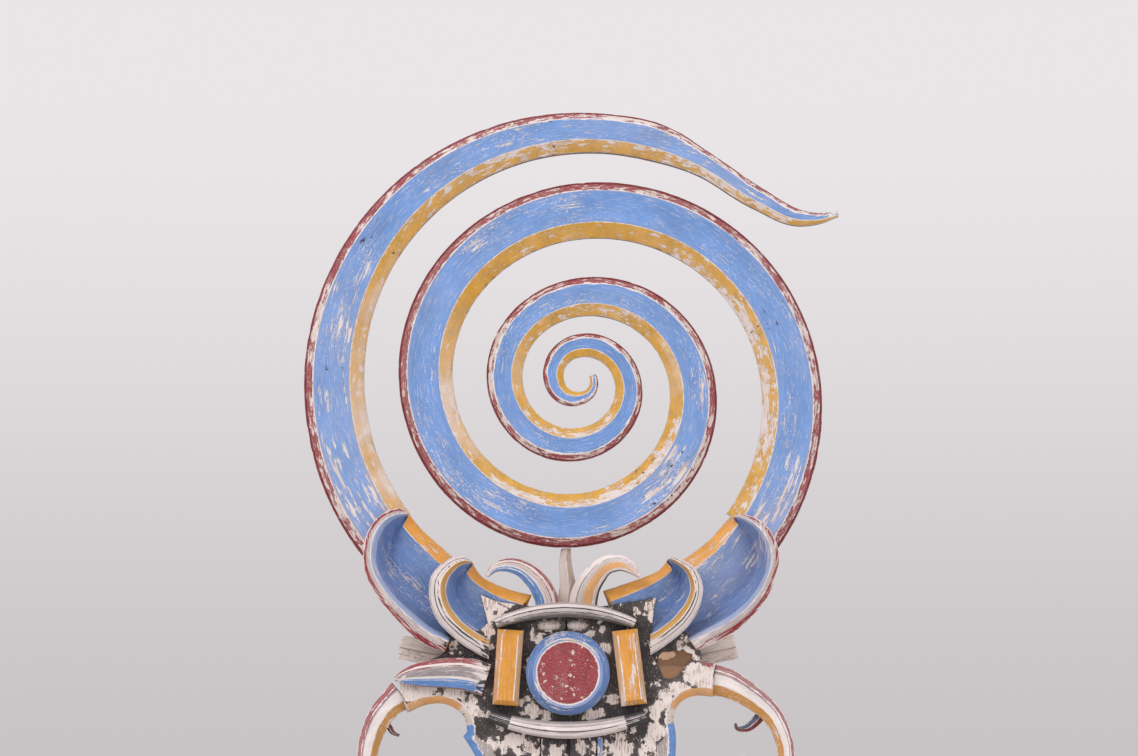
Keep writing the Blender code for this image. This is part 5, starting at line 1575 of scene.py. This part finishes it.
for x, z, half_width, half_height in KNOBS:
    turn = np.radians(np.arange(0, 360, 15))
    oval = 1 / np.hypot(np.cos(turn) / half_width, np.sin(turn) / half_height)
    knob = lens("knob", (x, z), KNOB_PROUD, (np.degrees(turn), oval), 140, 0.12, GROUND_INDEX)
    combine(board, knob, 'UNION')
combine(board, lens("scar", SCAR, SCAR_DEPTH, SCAR_REACH, 141, 0.15, SCAR_INDEX), 'DIFFERENCE')
for x, half, foot, top in SEAMS:
    seam = ((x - half, foot), (x - half, top), (x + half, top), (x + half, foot))
    combine(board, plate("seam", seam, GROUND - SEAM_DEPTH, GROUND + SEAM_DEPTH), 'DIFFERENCE')
combine(board, plate("gouge", EAR_GOUGE, GROUND - SEAM_DEPTH, GROUND + SEAM_DEPTH), 'DIFFERENCE')
print("board:", len(board.data.vertices), "vertices after", len(KNOBS) + len(SEAMS) + 2, "joins and cuts")

# %% [markdown]
# ## Flaking black
# The board was limewashed and then painted black, and the black has come off in flakes as large as a
# thumb: hardly at all behind the boss, mostly on the left ear, the right shoulder and the post.

# %% Where the board is bare
RAGGED, SPREAD = 8, 1.2  # mm by which bare places are pulled out of round, and their fade
RAGGED_LUMP = (15, 12)
HEAD_HALF, HEAD_FOOT, HEAD_FLAKED = 170, 430, 0.10  # the whole head has lost at least this much
KNOB_PAINTED_SHADOW, KNOB_RIM = 1.35, 0.98  # round a knob the black is kept whole as a painted shadow ring, and on the knob the ground shows
BARE_PLACES = (  # x, z, reach in mm, flaking
    (-149, 648, 16, 1.2), (-130, 638, 18, 1.2), (-142, 620, 16, 1.2), (-146, 600, 14, 1.1),
    (-108, 641, 9, 0.9), (-66, 590, 9, 0.8), (-57, 577, 9, 0.9), (-20, 584, 9, 0.7), (36, 586, 9, 0.8),
    (58, 592, 9, 0.7), (66, 560, 7, 0.7), (-75, 567, 7, 0.6), (136, 640, 9, 0.8), (146, 640, 9, 0.8),
    (144, 616, 9, 0.9), (124, 628, 9, 0.7), (154, 565, 9, 0.6), (-150, 566, 12, 0.75), (-205, 566, 12, 0.7),
    (204, 565, 11, 0.8), (218, 553, 11, 0.9), (244, 492, 18, 1.2), (232, 517, 23, 1.2), (272, 524, 25, 1.2),
    (197, 486, 20, 1.1), (170, 468, 14, 1.0), (154, 445, 16, 1.1), (152, 410, 16, 1.1), (140, 380, 18, 1.0),
    (112, 422, 11, 0.8), (-165, 447, 16, 1.0), (-179, 468, 14, 0.9), (-147, 486, 11, 0.8),
    (-144, 441, 11, 0.7), (-211, 478, 22, 0.9), (-256, 486, 22, 1.0), (-288, 484, 20, 1.1),
    (-136, 387, 13, 0.9), (-101, 390, 16, 0.9), (-122, 424, 13, 0.7), (-64, 448, 11, 0.9),
    (-42, 440, 11, 0.9), (44, 443, 13, 0.9), (74, 468, 9, 0.8), (-83, 466, 7, 0.6), (-69, 376, 18, 0.8),
    (-25, 378, 13, 0.8), (27, 387, 18, 0.9), (90, 376, 23, 1.0), (0, 200, 160, 0.5))
places, middles, index = corner_places(board.data)
x, z = places[:, 0], places[:, 2]
whiteness = np.zeros(len(x))
ragged_x, ragged_z = (at + RAGGED * ripple(x, z, *RAGGED_LUMP, seed) for at, seed in ((x, 150), (z, 151)))
for bare_x, bare_z, reach, amount in BARE_PLACES:
    far = ((ragged_x - bare_x) ** 2 + (ragged_z - bare_z) ** 2) / (SPREAD * reach) ** 2
    whiteness = np.maximum(whiteness, amount * np.exp(-far))
head = (np.abs(x) < HEAD_HALF) & (z > HEAD_FOOT)
whiteness = np.maximum(whiteness, np.where(head, HEAD_FLAKED, 0))
# Round each knob the black is kept whole as a painted shadow; on the knob the cream ground shows.
for knob_x, knob_z, half_width, half_height in KNOBS:
    from_knob = np.hypot((x - knob_x) / half_width, (z - knob_z) / half_height)
    whiteness[from_knob < KNOB_PAINTED_SHADOW] = -0.3
    whiteness[from_knob < KNOB_RIM] = 0.9
print("a share of", round(float(np.mean(whiteness > 0.5)), 2), "of the board's corners is mostly bare")

# %% How far each corner is from an arris
NO_ARRIS = 20.0
ring = np.vstack((outline, outline[:1]))
from_edge = np.full(len(x), float(FAR_MM))
for (x0, z0), (x1, z1) in zip(ring, ring[1:]):
    t = np.clip(((x - x0) * (x1 - x0) + (z - z0) * (z1 - z0)) / ((x1 - x0) ** 2 + (z1 - z0) ** 2), 0, 1)
    from_edge = np.minimum(from_edge, np.hypot(x - x0 - t * (x1 - x0), z - z0 - t * (z1 - z0)))
edge = np.where((z > BEVEL_FOOT) & (z < BEVEL_TOP), np.abs(from_edge - HOLLOW_BEVEL), NO_ARRIS)
on_post = (z > SEAM_FOOT) & (z < SEAM_TOP)
for seam_x, half, _, _ in (SEAMS[0], SEAMS[2]):
    edge = np.where(on_post, np.minimum(edge, np.abs(x - seam_x - half)), edge)
print("corners within 3 mm of an arris:", int(np.sum(edge < 3)), "of", len(edge))

# %% Which paint each corner has
STRIP = 19  # mm: a grey strip beside the blue one, down the post
OCHRE_ABOVE, BLUE_BELOW = 456, 425  # the bevel is ochre above, blue below and bare between
BLUE_STRIPE = (50.5, 58)  # along the right seam of the post
HOOK_RED = (231, 533, 535, 0.45)  # a wedge of the right hook's red on the shoulder: x, z, top, slope
LIT_FACET_IN_SCAR = (172, 548, 17, 8)  # a facet of the scar painted pale, as painted light: x, z and half sizes
RED_ZONE, BLACK_ZONE, STRIP_ZONE, BLUE_ZONE, BARE_ZONE = 0.5, 1.5, 2.5, 3.5, 4.5

strip = STRIP * eased(SEAM_TOP + 8 - z, 0, 22)
in_strip = (from_edge > HOLLOW_BEVEL) & (from_edge < HOLLOW_BEVEL + strip) & (z > BEVEL_FOOT)
face_zone = np.where(in_strip, STRIP_ZONE, BLACK_ZONE)
whiteness = np.where(in_strip, 0, whiteness)
face_zone = np.where(on_post & (x > BLUE_STRIPE[0]) & (x < BLUE_STRIPE[1]), BLUE_ZONE, face_zone)
from_x, from_z, top_z, slope = HOOK_RED
by_hook = (x > from_x) & (z > from_z - slope * (x - from_x)) & (z < top_z)
face_zone = np.where(by_hook, RED_ZONE, face_zone)
whiteness = np.where(by_hook, 0.1, whiteness)

on_face, on_bevel, on_scar = index == GROUND_INDEX, index == BEVEL_INDEX, index == SCAR_INDEX
zone = np.where(on_face, face_zone, np.where(on_bevel, BLACK_ZONE, BARE_ZONE))
zone = np.where(on_bevel & (middles[:, 2] < OCHRE_ABOVE), STRIP_ZONE, zone)
zone = np.where(on_bevel & (middles[:, 2] < BLUE_BELOW), BLUE_ZONE, zone)
# The scar's tones are painted light and shade: the pale facet is lit, the wood is darkest under the overhang
# and lighter lower down.
lit_facet_x, lit_facet_z, half_x, half_z = LIT_FACET_IN_SCAR
pale = np.hypot((x - lit_facet_x) / half_x, (z - lit_facet_z) / half_z) < 1
scar_zone = np.where(pale, RED_ZONE, np.clip(1.2 + (lit_facet_z - ragged_z) / 22, 1.2, 3.9))
zone = np.where(on_scar, scar_zone, zone)
sooty = np.where(on_bevel & (zone == STRIP_ZONE), 0.42, 0)
write_maps(board.data, SHORT_GRAIN * z, x, zone, edge, sooty, np.where(on_face, whiteness, 0))

# %% Paint the board
# Black over limewash on the face: the brittle film reads as dark islands with hard, angular edges.
face_zones = (
    (1, RED, 0.5, 0.62, 0, 0.1), (2, BLACK, 0.15, 0.52, 0.8, 0.03), (3, "#A79D9B", 0.6, 0.5, 0.6, 0.1),
    (4, BLUE, 0.4, 0.7, 0, 0.03))
# The sawn edges are old wood with a little limewash left; the bevels are ochre above and blue below.
edge_zones = (
    (2, OCHRE, 0.4, 0.66, 0.9, 0.3), (3, "#DCCDC0", 0.4, 0.5, 0.9, 0.2), (4, BLUE, 0.3, 0.45, 0.9, 0),
    (5, OLD_WOOD, 0.3, 0.3, 0, 0))
# Torn softwood in the scar, with light and shade painted in: one facet facing up and left is painted pale as
# lit, the wood under the overhang dark brown as painted shade, and lighter further down.
scar_light_and_shade_zones = (
    (1, "#E2BE9F", 0.3, 0.2, 0, 0), (2, "#8C6B52", 0.3, 0.2, 0, 0), (3, "#9C785C", 0.3, 0.2, 0, 0),
    (4, "#AC8868", 0.3, 0.2, 0, 0))
board_paints = [zone_paint("flaking_black_on_board", face_zones, coarse=1.7, relief=0.8, ground="#F7EBE5",
                           wood="#9C8068"),
                zone_paint("limewash_on_board_edges", edge_zones),
                zone_paint("oil_paint_on_bevels", edge_zones),
                zone_paint("torn_wood_of_scar_with_painted_light", scar_light_and_shade_zones, ground="#8B6A4F")]
dress(board, board_paints, "head_board")
